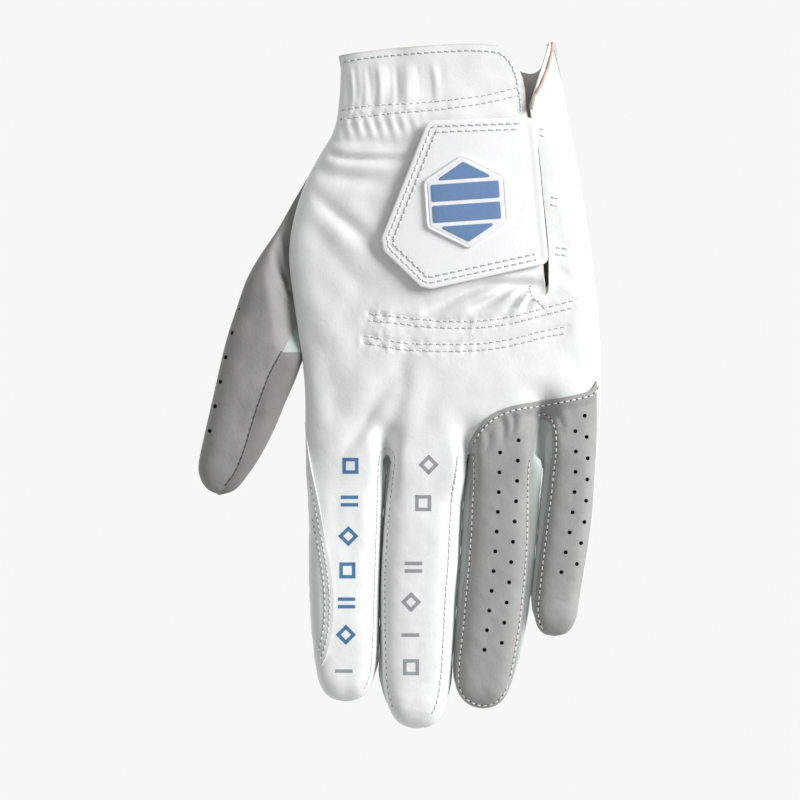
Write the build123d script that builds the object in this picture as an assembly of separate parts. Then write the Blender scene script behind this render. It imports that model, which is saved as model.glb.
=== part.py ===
from build123d import *
import math
import os

# Golf glove for the left hand, lying flat on its palm with the back of the hand up.
#
# The fingers point along -Y, the open cuff is at +Y and the thumb is on the -X side. The origin is the
# middle of the glove's footprint on the surface that it lies on. Every leather panel is a thin shell,
# so the glove is hollow: the hand goes in at the cuff and a finger goes into each stall. Hand, thumb,
# fingers and closure tab are separate bodies, with a small gap where one turns against another.

os.makedirs("parts", exist_ok=True)

# ---- Driving dimensions, in millimetres ----
leather = 0.8             # thickness of every leather panel
hand_height = 16.0        # the hand, laid flat
stall_height = 14.0       # the fingers and the thumb, laid flat
hand_edge_radius = 7.0    # how roundly the hand's sides turn from back to palm
stall_edge_radius = 6.2   # the same on fingers and thumb
seam_depth = 3.5          # how far the back and palm strips come down a finger's sides
turning_gap = 0.4         # between two bodies where one turns against the other
lining = 0.8              # thickness of the elastics and hems inside the hand
hem_width = 4.5
loop_pile = 1.0           # thickness of the soft loop patch on the back
hook_pile = 1.2           # thickness of the hook patch under the tab
mating_gap = 0.3          # between the two patches
tab_thickness = 1.1       # the tab's leather, which is two layers glued together
badge_thickness = 1.2
inlay_rise = 0.2          # how far the badge's inlay stands above its base
beyond = 60.0             # longer than anything a cutting prism has to pass

# The hand's two sides, from the cuff to the knuckles.
radial_side = [
    (-19.3, 122), (-19.3, 95), (-24.4, 79), (-32.0, 62),
    (-35.8, 44), (-34.2, 24), (-31.6, 3), (-30.7, -40),
]
ulnar_side = [(48.6, 122), (54.2, 96), (59.5, 72), (63.6, 44), (66.1, 20), (66.6, -2), (65.6, -40)]
cuff_edge = [(-50, 107.4), (-19.3, 109.0), (20, 112.2), (50, 113.5), (80, 113.5)]

# The wrist slit: its two edges from the cuff down to its closed end.
slit_radial_edge = [(31.5, 122), (34.5, 111.6), (38.5, 106.5), (41.2, 99.0), (42.3, 90.0), (48.3, 31.5)]
slit_ulnar_edge = [(49.4, 31.5), (44.0, 90.0), (46.4, 99.0), (49.6, 113.0), (51.0, 122)]

# The grey insert's edge on the back of the hand, from the middle finger round to the ulnar side.
insert_edge = [
    (22.6, -30), (22.8, -20.9), (25.2, -15.6), (30.3, -9.8),
    (39.6, -5.7), (54.6, -3.8), (63.6, -0.9), (75, 4.0),
]

# Each finger: where it bends, its tip's centre, and the radii there.
fingers = {
    "index": dict(root=(-17.6, -25.0), tip=(-17.9, -94.4), root_radius=12.4, tip_radius=10.0),
    "middle": dict(root=(8.9, -26.0), tip=(6.1, -102.3), root_radius=12.4, tip_radius=11.2),
    "ring": dict(root=(33.8, -21.0), tip=(27.9, -97.0), root_radius=11.0, tip_radius=9.6),
    "little": dict(root=(58.2, -13.0), tip=(51.2, -75.0), root_radius=8.5, tip_radius=7.6),
}
# What the two walls between a finger's back and palm are called, radial side first.
side_walls = {
    "index": ("index_side", "index_fourchette"),
    "middle": ("middle_fourchette_radial", "middle_fourchette_ulnar"),
    "ring": ("ring_fourchette_radial", "ring_fourchette_ulnar"),
    "little": ("little_fourchette", "little_side"),
}
# The bends of neighbouring fingers meet on lines along the hand, at these distances across it.
finger_bounds = [-80, -4.3, 22.2, 46.8, 80]
crotch_notch = [(46.8, -10.6), (44.4, -26), (49.6, -26)]
crotches = {
    "index_middle_gusset": (-4.3, -22.8),
    "middle_ring_gusset": (20.8, -22.8),
    "ring_little_gusset": (46.8, -9.0),
}
gusset_size = (1.6, 2.6)

# The thumb stall: three circles whose hull is its outline, from the wrist to the tip.
thumb_circles = [((-29.5, 60.0), 7.5), ((-43.6, 15.0), 12.6), ((-57.8, -27.3), 8.9)]
thumb_seam = [(-38.3, 11.4), (-42.6, 0.3), (-47.9, -17.8), (-50.4, -26.5), (-54.5, -32.0), (-59.7, -38.0)]
thumb_hole = dict(inner_x=-22.0, low_y=16.0, high_y=60.0, low_z=2.6, high_z=11.4)

# The closure tab: its outline from the hinge line round its free end, and what is on it.
tab_corners = [(44.4, 88.3), (8.2, 86.9), (-6.6, 46.2), (9.6, 31.6), (48.9, 40.6)]
tab_corner_radius = 3.0
patch_corners = [(38.0, 83.5), (12.0, 82.6), (-0.5, 47.4), (11.6, 36.6), (41.5, 43.4)]
badge_centre = (22.0, 60.5)
badge_size = (27.0, 31.0)
badge_turn = 4.0          # degrees that the badge is turned with the tab
badge_border = 2.2
badge_corner_radius = 3.4
inlay_depth = 0.6
groove_width = 1.3        # the grooves that divide the inlay into bars
groove_depth = 0.5
grooves = 3


def prism(points, low, high):
    """A straight-sided solid over a closed outline, from one height to another."""
    return Pos(0, 0, low) * extrude(make_face(Polyline(*points, close=True)), high - low)


def rounded_prism(points, radius, low, high):
    """The same with the outline's corners rounded."""
    outline = make_face(Polyline(*points, close=True))
    outline = fillet(outline.vertices(), radius)
    return Pos(0, 0, low) * extrude(outline, high - low)


# ---- The hand ----
def hand_outline(inset):
    """The hand's plan shape, past both ends of the glove, drawn in by inset at its sides."""
    radial = Spline(*[(x + inset, y) for x, y in radial_side])
    ulnar = Spline(*[(x - inset, y) for x, y in ulnar_side])
    ends = Line(radial @ 0, ulnar @ 0).edges() + Line(radial @ 1, ulnar @ 1).edges()
    return make_face(radial.edges() + ulnar.edges() + ends)


def hand_solid(inset):
    """The hand as a solid with rounded sides, drawn in by inset all round except at its two ends."""
    slab = Pos(0, 0, inset) * extrude(hand_outline(inset), hand_height - 2 * inset)
    long_edges = [e for e in slab.edges() if e.geom_type != GeomType.LINE]
    return fillet(long_edges, hand_edge_radius - inset)


def finger_plane(name):
    """Where a finger bends: X runs along the finger to its tip and Y across it, to the ulnar side."""
    finger = fingers[name]
    along = Vector(*finger["tip"]) - Vector(*finger["root"])
    return Plane(origin=finger["root"], x_dir=along, z_dir=(0, 0, 1))


def bend_height(name, x):
    """How far along the hand a finger's bend line lies, at one place across it."""
    (root_x, root_y), (tip_x, tip_y) = fingers[name]["root"], fingers[name]["tip"]
    return root_y - (x - root_x) * (tip_x - root_x) / (tip_y - root_y)


finger_end = []
for finger_name, left, right in zip(fingers, finger_bounds, finger_bounds[1:]):
    finger_end.append((left, bend_height(finger_name, left)))
    finger_end.append((right, bend_height(finger_name, right)))

hand_inside = hand_solid(leather)
hand_shell = hand_solid(0) - hand_inside
hand_shell -= prism([*cuff_edge, (80, 140), (-60, 140)], -1, hand_height + 1)
hand_shell -= prism([*finger_end, (80, -60), (-80, -60)], -1, hand_height + 1)
hand_shell -= prism(crotch_notch, -1, hand_height + 1)
hole_size = (beyond, thumb_hole["high_y"] - thumb_hole["low_y"], thumb_hole["high_z"] - thumb_hole["low_z"])
hole = Box(*hole_size, align=(Align.MAX, Align.MIN, Align.MIN))
hand_shell -= Pos(thumb_hole["inner_x"], thumb_hole["low_y"], thumb_hole["low_z"]) * hole

everything = Box(400, 400, 40, align=(Align.CENTER, Align.CENTER, Align.MIN))
upper_half = Pos(0, 0, hand_height / 2) * everything
insert_region = prism([*insert_edge, (75, -40), (22.6, -40)], 1.5, hand_height + 1)
slit_region = prism(slit_radial_edge + slit_ulnar_edge, hand_height / 2, hand_height + 1)
back_shell = hand_shell & upper_half

nodes = {}
nodes["palm_panel"] = hand_shell - upper_half
nodes["finger_insert"] = back_shell & insert_region
nodes["back_panel"] = back_shell - insert_region - slit_region

# ---- Inside the hand: elastics, hems and the slit's binding ----
under_back = hand_height - leather - lining


def inside_strip(points, low=under_back):
    """A thin strip laid inside the hand, trimmed to its inner face."""
    return prism(points, low, low + lining) & hand_inside


knuckle_far_edge = [(-9.5, 22.6), (12, 21.3), (25, 21.3), (37, 22.6), (57, 28.2)]
knuckle_near_edge = [(55.5, 19.2), (47, 17.6), (36, 14.9), (25, 13.1), (12, 13.1), (-11.5, 15.0)]
nodes["knuckle_elastic"] = inside_strip(knuckle_far_edge + knuckle_near_edge)
nodes["wrist_elastic"] = inside_strip([(-13.5, 103.5), (20, 104.6), (20, 94.6), (-13.5, 93.0)])
hem_shell = hand_inside - hand_solid(leather + lining)
hem_lower_edge = [(x, y - hem_width) for x, y in reversed(cuff_edge)]
hem_shell &= prism(cuff_edge + hem_lower_edge, 0, hand_height)
slit_middle = 0.5 * (slit_radial_edge[2][0] + slit_ulnar_edge[2][0])
past_slit = Box(beyond, beyond, beyond, align=(Align.MIN, Align.CENTER, Align.MIN))
ulnar_side_only = Pos(slit_middle, cuff_edge[2][1], hand_height / 2) * past_slit
nodes["cuff_hem_palm"] = hem_shell - upper_half
nodes["cuff_hem_radial"] = (hem_shell & upper_half) - slit_region - ulnar_side_only
nodes["cuff_hem_ulnar"] = ((hem_shell & upper_half) - slit_region) & ulnar_side_only
binding = [
    (29.5, 107.0), (34.5, 103.0), (38.2, 96.0), (39.3, 89.0),
    (45.4, 28.8), (52.3, 28.8), (47.0, 90.0), (48.3, 107.0),
]
nodes["slit_binding"] = inside_strip(binding) - slit_region
tab_elastic_outline = [(37.0, 86.5), (53.5, 86.5), (58.0, 42.5), (41.0, 42.5)]
nodes["tab_elastic"] = inside_strip(tab_elastic_outline, under_back - lining)

for gusset, (x, y) in crotches.items():
    nodes[gusset] = Pos(x, y, hand_height / 2) * Box(*gusset_size, hand_height - 2 * leather)

# ---- The closure: loop patch on the back, hook patch, tab and badge ----
loop_top = hand_height + loop_pile
hook_low = loop_top + mating_gap
tab_low = hook_low + hook_pile
tab_top = tab_low + tab_thickness
nodes["loop_patch"] = rounded_prism(patch_corners, 2.0, hand_height, loop_top)
nodes["hook_patch"] = rounded_prism(patch_corners, 2.0, hook_low, tab_low)
free_corners = fillet(
    make_face(Polyline(*tab_corners, close=True)).vertices().sort_by(Axis.X)[:3], tab_corner_radius
)
nodes["tab_leather"] = Pos(0, 0, tab_low) * extrude(free_corners, tab_thickness)


def badge_outline(inset):
    """An upright hexagon with rounded corners, drawn in by inset."""
    half_width = badge_size[0] / 2 - inset
    half_length = badge_size[1] / 2 - inset
    shoulder = half_length * 0.5
    corners = [
        (0, half_length),
        (half_width, shoulder),
        (half_width, -shoulder),
        (0, -half_length),
        (-half_width, -shoulder),
        (-half_width, shoulder),
    ]
    outline = make_face(Polyline(*corners, close=True))
    return fillet(outline.vertices(), badge_corner_radius - inset)


badge_place = Pos(*badge_centre, 0) * Rot(0, 0, badge_turn)
badge_top = tab_top + badge_thickness
base = Pos(0, 0, tab_top) * extrude(badge_outline(0), badge_thickness)
inlay = Pos(0, 0, badge_top - inlay_depth) * extrude(badge_outline(badge_border), inlay_depth + inlay_rise)
inlay_top = badge_top + inlay_rise
groove_pitch = (badge_size[1] - 2 * badge_border) / (grooves + 1)
for step in range(grooves):
    groove_y = (step - (grooves - 1) / 2) * groove_pitch
    inlay -= Pos(0, groove_y, inlay_top) * Box(badge_size[0], groove_width, 2 * groove_depth)
nodes["badge_base"] = badge_place * (base - inlay)
nodes["badge_inlay"] = badge_place * inlay


# ---- Fingers ----
def tangent_ends(first, second, side):
    """Where the common tangent of two circles touches them, on the left (1) or the right (-1)."""
    (start, start_radius), (end, end_radius) = first, second
    along = Vector(*end) - Vector(*start)
    lean = math.asin((start_radius - end_radius) / along.length)
    along = along.normalized()
    outward = Vector(-along.Y, along.X) * side * math.cos(lean) + along * math.sin(lean)
    return Vector(*start) + outward * start_radius, Vector(*end) + outward * end_radius


def arc_on(circle, start, end):
    """The arc of a circle from one point to another, round the outside of the stall."""
    centre, radius = Vector(*circle[0]), circle[1]
    middle = (start - centre) + (end - centre)
    return ThreePointArc(start, centre + middle.normalized() * radius, end)


def stall_outline(circles):
    """The closed outline round a row of circles: tangents at the sides and arcs between them."""
    pairs = list(zip(circles, circles[1:]))
    edges = []
    ends = {}
    for side in (1, -1):
        lines = [tangent_ends(first, second, side) for first, second in pairs]
        edges += [Line(*line) for line in lines]
        for circle, before, after in zip(circles[1:], lines, lines[1:]):
            edges.append(arc_on(circle, before[1], after[0]))
        ends[side] = (lines[0][0], lines[-1][1])
    for end, place in ((0, 0), (1, -1)):
        centre, radius = Vector(*circles[place][0]), circles[place][1]
        neighbour = Vector(*circles[1 if end == 0 else -2][0])
        furthest = centre + (centre - neighbour).normalized() * radius
        edges.append(ThreePointArc(ends[1][end], furthest, ends[-1][end]))
    return make_face([edge for curve in edges for edge in curve.edges()])


def stall_solid(circles, inset):
    """A row of circles made into a solid with rounded rims, drawn in by inset all round."""
    smaller = [(centre, radius - inset) for centre, radius in circles]
    slab = Pos(0, 0, inset) * extrude(stall_outline(smaller), stall_height - 2 * inset)
    middle = stall_height / 2
    rims = [edge for edge in slab.edges() if abs(edge.center().Z - middle) > middle - inset - 0.01]
    return fillet(rims, stall_edge_radius - inset)


def along_finger(name, start, low, high, side=Align.CENTER):
    """A block in a finger's own frame, from start along it and between two heights."""
    block = Box(3 * beyond, beyond, high - low, align=(Align.MIN, side, Align.MIN))
    return finger_plane(name) * (Pos(start, 0, low) * block)


back_seam = stall_height - seam_depth
for finger_name, finger in fingers.items():
    circles = [(finger["root"], finger["root_radius"]), (finger["tip"], finger["tip_radius"])]
    stall = stall_solid(circles, 0) - stall_solid(circles, leather)
    radial_wall, ulnar_wall = side_walls[finger_name]
    nodes[finger_name + "_back"] = stall & along_finger(finger_name, turning_gap, back_seam, stall_height)
    # The palm strip starts further out, so that it clears the hand's palm when the finger curls.
    palm_start = seam_depth + turning_gap
    nodes[finger_name + "_palm"] = stall & along_finger(finger_name, palm_start, 0, seam_depth)
    nodes[radial_wall] = stall & along_finger(finger_name, turning_gap, seam_depth, back_seam, Align.MAX)
    nodes[ulnar_wall] = stall & along_finger(finger_name, turning_gap, seam_depth, back_seam, Align.MIN)

# ---- Thumb ----
thumb_shell = stall_solid(thumb_circles, 0) - stall_solid(thumb_circles, leather)
thumb_shell -= Pos(0, 0, -1) * extrude(hand_outline(-turning_gap), stall_height + 2)
thumb_top = thumb_shell & (Pos(0, 0, back_seam) * everything)
side_region = prism([*thumb_seam, (-20, -60), (-20, 11.4)], 0, stall_height + 1)
gusset_region = prism([(-38.3, 11.4), (-20, 11.4), (-20, 26), (-34.5, 26)], 0, stall_height + 1)
nodes["thumb_side"] = thumb_top & side_region
nodes["thumb_gusset"] = thumb_top & gusset_region
nodes["thumb_front"] = thumb_top - side_region - gusset_region
nodes["thumb_palm"] = thumb_shell - thumb_top

for name, shape in nodes.items():
    export_step(shape, f"parts/{name}.step")
whole = Compound(children=[Compound(list(shape.solids())) for shape in nodes.values()]).bounding_box()
print("size", whole.size, "low", whole.min, "high", whole.max)
print(len(nodes), "nodes")
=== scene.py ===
import bpy
import bmesh
import math
import numpy as np
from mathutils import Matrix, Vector


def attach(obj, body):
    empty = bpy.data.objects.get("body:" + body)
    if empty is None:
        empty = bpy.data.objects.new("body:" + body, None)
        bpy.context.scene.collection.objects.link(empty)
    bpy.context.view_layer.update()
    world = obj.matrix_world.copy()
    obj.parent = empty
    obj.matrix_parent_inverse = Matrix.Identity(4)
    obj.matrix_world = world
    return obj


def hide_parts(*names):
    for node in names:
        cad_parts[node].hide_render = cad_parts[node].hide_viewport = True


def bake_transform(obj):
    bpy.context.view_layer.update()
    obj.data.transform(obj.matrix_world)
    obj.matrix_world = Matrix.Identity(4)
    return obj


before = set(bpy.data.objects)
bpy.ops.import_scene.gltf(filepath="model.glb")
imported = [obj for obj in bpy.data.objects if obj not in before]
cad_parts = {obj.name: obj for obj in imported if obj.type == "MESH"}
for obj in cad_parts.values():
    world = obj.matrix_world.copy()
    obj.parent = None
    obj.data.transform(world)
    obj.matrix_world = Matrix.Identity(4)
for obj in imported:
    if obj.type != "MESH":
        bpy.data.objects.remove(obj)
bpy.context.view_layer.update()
print("frame loaded:", len(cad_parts), "nodes")

mm = 0.001          # every length below is in millimetres and is scaled once, when a mesh is made
creaseAngle = 48    # faces that meet at more degrees than this keep a hard edge
restHeight = 0.35   # how high the inside of the palm lies over the flat it rests on
dice = np.random.default_rng(14)


# camera, lights and floor
studio = {
    "centre": (0.33, -4.6, 12.0),
    "cameraHeight": 1500.0,
    "viewWidth": 264.0,
    "sensor": 36.0,
    "nearest": 0.05,
    "worldGrey": 0.80,
    "worldStrength": 0.52,
    "keyPower": 3.9,
    "keyFrom": (740.0, 300.0, 460.0),
    "keySoftness": 30.0,
    "fillPower": 0.6,
    "fillSize": 0.9,
    "fillFrom": (-500.0, -420.0, 900.0),
    "floorGrey": 0.905,
    "floorSize": 60.0,
    "backdrop": 0.93,
    "floorDrop": 1600.0,      # curled fingers clear the floor, and the shadow falls outside the view
}


def aim(thing, target):
    direction = Vector(target) - thing.location
    thing.rotation_euler = direction.to_track_quat("-Z", "Y").to_euler()


def buildStudio():
    scene = bpy.context.scene
    scene.view_settings.view_transform = "Standard"
    centre = Vector(studio["centre"]) * mm
    camera = bpy.data.objects.new("camera", bpy.data.cameras.new("camera"))
    scene.collection.objects.link(camera)
    camera.location = centre + Vector((0, 0, studio["cameraHeight"] * mm))
    camera.data.sensor_width = studio["sensor"]
    camera.data.lens = studio["sensor"] * studio["cameraHeight"] / studio["viewWidth"]
    camera.data.clip_start = studio["nearest"]
    scene.camera = camera
    for name, kind in (("key", "SUN"), ("fill", "AREA")):
        lamp = bpy.data.objects.new(name + "Light", bpy.data.lights.new(name + "Light", kind))
        scene.collection.objects.link(lamp)
        lamp.data.energy = studio[name + "Power"]
        lamp.location = Vector(studio[name + "From"]) * mm
        aim(lamp, centre)
        if kind == "SUN":
            lamp.data.angle = math.radians(studio["keySoftness"])
        else:
            lamp.data.size = studio["fillSize"]
    world = bpy.data.worlds.new("softRoom")
    world.use_nodes = True
    tree = world.node_tree
    sky = tree.nodes["Background"]
    sky.inputs["Color"].default_value = (studio["worldGrey"],) * 3 + (1,)
    sky.inputs["Strength"].default_value = studio["worldStrength"]
    backdrop = tree.nodes.new("ShaderNodeBackground")     # what is seen past the floor's far edge
    backdrop.inputs["Color"].default_value = (studio["backdrop"],) * 3 + (1,)
    rays = tree.nodes.new("ShaderNodeLightPath")
    choose = tree.nodes.new("ShaderNodeMixShader")
    tree.links.new(rays.outputs["Is Camera Ray"], choose.inputs["Fac"])
    tree.links.new(sky.outputs["Background"], choose.inputs[1])
    tree.links.new(backdrop.outputs["Background"], choose.inputs[2])
    tree.links.new(choose.outputs["Shader"], tree.nodes["World Output"].inputs["Surface"])
    scene.world = world
    bpy.ops.mesh.primitive_plane_add(size=studio["floorSize"], location=(0, 0, -studio["floorDrop"] * mm))
    floor = bpy.context.object
    floor.name = "floor"
    paper = bpy.data.materials.new("floorPaper")
    paper.use_nodes = True
    shader = paper.node_tree.nodes["Principled BSDF"]
    shader.inputs["Base Color"].default_value = (studio["floorGrey"],) * 3 + (1,)
    shader.inputs["Roughness"].default_value = 0.9
    shader.inputs["Specular IOR Level"].default_value = 0.1
    floor.data.materials.append(paper)


buildStudio()
print("camera and lights are set")


# materials
def addNode(tree, kind, **values):
    node = tree.nodes.new(kind)
    for key, value in values.items():
        if key in node.inputs:
            node.inputs[key].default_value = value
        else:
            setattr(node, key, value)
    return node


def newMaterial(name):
    material = bpy.data.materials.new(name)
    material.use_nodes = True
    tree = material.node_tree
    return material, tree, tree.links.new, tree.nodes["Principled BSDF"], addNode(tree, "ShaderNodeTexCoord")


hide = {"mottle": 90.0, "fine": 1100.0, "pores": 1500.0, "folds": 170.0}     # texture scales of the leather
hide.update(mottleFrom=0.30, mottleTo=0.66, speck=0.10, poreDepth=0.00006, foldDepth=0.0005, shine=0.35)


def leather(name, colour, darker, grain=0.9, wrinkle=0.35, roughness=0.5, sheen=0.0):
    # fine pores, a slow mottling of the dye and soft stretch wrinkles
    material, tree, link, shader, place = newMaterial(name)
    mottle = addNode(tree, "ShaderNodeTexNoise", Scale=hide["mottle"], Detail=6.0, Roughness=0.6)
    fine = addNode(tree, "ShaderNodeTexNoise", Scale=hide["fine"], Detail=3.0, Roughness=0.7)
    pores = addNode(tree, "ShaderNodeTexVoronoi", Scale=hide["pores"])
    folds = addNode(tree, "ShaderNodeTexNoise", Scale=hide["folds"], Detail=4.0, Roughness=0.55, Distortion=0.6)
    for texture in (mottle, fine, pores, folds):
        link(place.outputs["Object"], texture.inputs["Vector"])
    ramp = addNode(tree, "ShaderNodeValToRGB")
    for stop, position, shade in zip(ramp.color_ramp.elements, (hide["mottleFrom"], hide["mottleTo"]),
                                     (darker, colour)):
        stop.position = position
        stop.color = (*shade, 1)
    link(mottle.outputs["Fac"], ramp.inputs["Fac"])
    speck = addNode(tree, "ShaderNodeMix", data_type="RGBA", blend_type="MULTIPLY")
    speck.inputs["Factor"].default_value = hide["speck"]
    link(ramp.outputs["Color"], speck.inputs[6])
    link(fine.outputs["Color"], speck.inputs[7])
    link(speck.outputs[2], shader.inputs["Base Color"])
    gloss = addNode(tree, "ShaderNodeMapRange")
    gloss.inputs["To Min"].default_value = roughness - 0.08
    gloss.inputs["To Max"].default_value = roughness + 0.12
    link(mottle.outputs["Fac"], gloss.inputs["Value"])
    link(gloss.outputs["Result"], shader.inputs["Roughness"])
    height = addNode(tree, "ShaderNodeMath", operation="MULTIPLY_ADD")
    link(pores.outputs["Distance"], height.inputs[0])
    height.inputs[1].default_value = 0.5
    link(fine.outputs["Fac"], height.inputs[2])
    skin = addNode(tree, "ShaderNodeBump", Strength=grain, Distance=hide["poreDepth"])
    creased = addNode(tree, "ShaderNodeBump", Strength=wrinkle, Distance=hide["foldDepth"])
    link(height.outputs["Value"], skin.inputs["Height"])
    link(folds.outputs["Fac"], creased.inputs["Height"])
    link(creased.outputs["Normal"], skin.inputs["Normal"])
    link(skin.outputs["Normal"], shader.inputs["Normal"])
    shader.inputs["Specular IOR Level"].default_value = hide["shine"]
    shader.inputs["Sheen Weight"].default_value = sheen
    return material


def plainStuff(name, colour, roughness, scale=900.0, strength=0.4, depth=0.0001, sheen=0.0,
               kind="ShaderNodeTexNoise"):
    material, tree, link, shader, place = newMaterial(name)
    texture = addNode(tree, kind, Scale=scale)
    link(place.outputs["Object"], texture.inputs["Vector"])
    value = texture.outputs["Distance"] if kind == "ShaderNodeTexVoronoi" else texture.outputs["Fac"]
    ramp = addNode(tree, "ShaderNodeValToRGB")
    ramp.color_ramp.elements[0].color = (*[c * 0.86 for c in colour], 1)
    ramp.color_ramp.elements[1].color = (*colour, 1)
    link(value, ramp.inputs["Fac"])
    link(ramp.outputs["Color"], shader.inputs["Base Color"])
    bump = addNode(tree, "ShaderNodeBump", Strength=strength, Distance=depth)
    link(value, bump.inputs["Height"])
    link(bump.outputs["Normal"], shader.inputs["Normal"])
    shader.inputs["Roughness"].default_value = roughness
    shader.inputs["Sheen Weight"].default_value = sheen
    shader.inputs["Specular IOR Level"].default_value = 0.3
    return material


whiteLeather = leather("whiteCabretta", (0.86, 0.87, 0.87), (0.80, 0.815, 0.81), grain=0.55, wrinkle=0.30,
                       roughness=0.42)
palmLeather = leather("palmCabretta", (0.83, 0.84, 0.835), (0.77, 0.785, 0.775), grain=0.6, wrinkle=0.34,
                      roughness=0.48)
# the tab's white leather made brighter than the back's, as painted light where the tab lies more in the light
litTabLeather = leather("tabLitCabretta", (0.90, 0.905, 0.91), (0.87, 0.875, 0.88), grain=0.40, wrinkle=0.12,
                     roughness=0.42)
greyLeather = leather("greyCabretta", (0.375, 0.375, 0.37), (0.325, 0.325, 0.32), grain=0.8, wrinkle=0.40,
                      roughness=0.6)
thumbLeather = leather("thumbCabretta", (0.315, 0.312, 0.305), (0.265, 0.263, 0.258), grain=0.9, wrinkle=0.40,
                       roughness=0.62)
# the thumb's inner strip: the thumb's grey leather painted darker, as painted shade where the hand shades it
paintedShadeStripLeather = leather("thumbStripPaintedShadeCabretta", (0.225, 0.222, 0.215), (0.185, 0.183, 0.178), grain=0.9,
                        wrinkle=0.40, roughness=0.62)
# the fourchettes and crotch gussets are white leather; this darker greenish grey is painted shade between the
# fingers
paintedShadeGussetLeather = leather("gussetPaintedShadeCabretta", (0.56, 0.615, 0.59), (0.50, 0.555, 0.53), grain=0.6, wrinkle=0.5,
                        roughness=0.6)
# the thumb's gusset: the fourchette leather darker still, as painted shade
paintedDeepShadeWebLeather = leather("webPaintedShadeCabretta", (0.44, 0.51, 0.475), (0.38, 0.45, 0.42), grain=0.6, wrinkle=0.5,
                     roughness=0.65)
fleshSide = leather("fleshSide", (0.66, 0.50, 0.40), (0.56, 0.40, 0.31), grain=1.0, wrinkle=0.5,
                    roughness=0.85, sheen=0.3)
greyFlesh = leather("greyFleshSide", (0.30, 0.30, 0.30), (0.24, 0.24, 0.24), grain=1.0, wrinkle=0.5,
                    roughness=0.9)
paleFlesh = leather("paleFleshSide", (0.72, 0.70, 0.67), (0.64, 0.62, 0.58), grain=1.0, wrinkle=0.4,
                    roughness=0.85)
threadWhite = plainStuff("threadWhite", (0.86, 0.86, 0.85), 0.6, scale=2600.0, strength=0.5)
# the same white thread painted greyer for the white leather, as painted shade
threadPaintedShade = plainStuff("threadPaintedShade", (0.78, 0.785, 0.785), 0.7, scale=2600.0, strength=0.5)
threadDark = plainStuff("threadDark", (0.10, 0.10, 0.10), 0.7, scale=2600.0, strength=0.5)
# dark flat blobs at the stitches' ends: painted shade standing for the shade in the needle holes
paintedHoleShade = plainStuff("paintedHoleShade", (0.36, 0.37, 0.37), 0.9, scale=2000.0, strength=0.3)
paintedHoleShadeGrey = plainStuff("paintedHoleShadeGrey", (0.13, 0.13, 0.13), 0.9, scale=2000.0, strength=0.3)
elasticWeave = plainStuff("elasticWeave", (0.80, 0.80, 0.78), 0.8, scale=1400.0, strength=0.8, sheen=0.3)
loopPile = plainStuff("loopPile", (0.80, 0.80, 0.79), 0.95, scale=2400.0, strength=1.0, depth=0.0004, sheen=0.6)
hookTape = plainStuff("hookTape", (0.78, 0.78, 0.78), 0.5, scale=1500.0, strength=1.0, depth=0.0005,
                      kind="ShaderNodeTexVoronoi")
badgeWhite = plainStuff("badgeWhite", (0.90, 0.905, 0.915), 0.38, scale=500.0, strength=0.10)
badgeBlue = plainStuff("badgeBlue", (0.155, 0.265, 0.475), 0.45, scale=700.0, strength=0.25)
printBlue = plainStuff("printBlue", (0.075, 0.205, 0.385), 0.5, scale=1200.0, strength=0.3)
printGrey = plainStuff("printGrey", (0.33, 0.345, 0.355), 0.5, scale=1200.0, strength=0.3)
print("materials are mixed")


# curves, surfaces and meshes
def smoothStep(t):
    t = np.clip(t, 0.0, 1.0)
    return t * t * (3 - 2 * t)


def evenly(line, fractions):
    # points of a line at given fractions of its length
    run = np.r_[0, np.cumsum(np.linalg.norm(np.diff(line, axis=0), axis=1))]
    return np.column_stack([np.interp(fractions * run[-1], run, column) for column in line.T])


def smoothCurve(points, count):
    # an even run of points on a smooth line through the given ones
    given = np.array(points, float)
    ends = np.vstack([2 * given[0] - given[1], given, 2 * given[-1] - given[-2]])
    dense = []
    for a, b, c, d in zip(ends, ends[1:], ends[2:], ends[3:]):
        for t in np.linspace(0, 1, 14, endpoint=False):
            dense.append(0.5 * (2 * b + (c - a) * t + (2 * a - 5 * b + 4 * c - d) * t * t
                                + (3 * b - a - 3 * c + d) * t ** 3))
    dense.append(given[-1])
    dense = np.array(dense)
    return evenly(dense, np.linspace(0, 1, count))


def curveLength(points):
    return float(np.linalg.norm(np.diff(np.array(points, float), axis=0), axis=1).sum())


def sideways(line):
    # unit normals of a flat line, to the left of its direction
    step = np.gradient(line[:, :2], axis=0)
    step /= np.maximum(np.linalg.norm(step, axis=1, keepdims=True), 1e-9)
    return np.stack([-step[:, 1], step[:, 0]], axis=1)


def bend(t, start, pull, end):
    # a curve from start to end that leans toward pull on the way
    return (1 - t) ** 2 * start + 2 * t * (1 - t) * pull + t * t * end


def ripple(x, y, size, seed, waves=7):
    # soft irregular bumps between -1 and 1, from a few crossed waves
    dial = np.random.default_rng(seed)
    total = 0
    for _ in range(waves):
        turn = dial.uniform(0, 2 * math.pi)
        reach = size * dial.uniform(0.6, 1.7)
        total = total + np.sin((x * math.cos(turn) + y * math.sin(turn)) * 2 * math.pi / reach
                               + dial.uniform(0, 6.28))
    return total / waves * 1.8


def distanceTo(x, y, points):
    # distance from each place to a line, and how far along the line that is, 0 to 1
    line = np.array(points, float)
    total = curveLength(line)
    best = np.full(np.shape(x), 1e9)
    along = np.zeros(np.shape(x))
    run = 0.0
    for (ax, ay), (bx, by) in zip(line, line[1:]):
        dx, dy = bx - ax, by - ay
        length = math.hypot(dx, dy)
        t = np.clip(((x - ax) * dx + (y - ay) * dy) / (length * length), 0, 1)
        gap = np.hypot(x - ax - t * dx, y - ay - t * dy)
        nearer = gap < best
        best = np.where(nearer, gap, best)
        along = np.where(nearer, (run + t * length) / total, along)
        run += length
    return best, along


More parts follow.
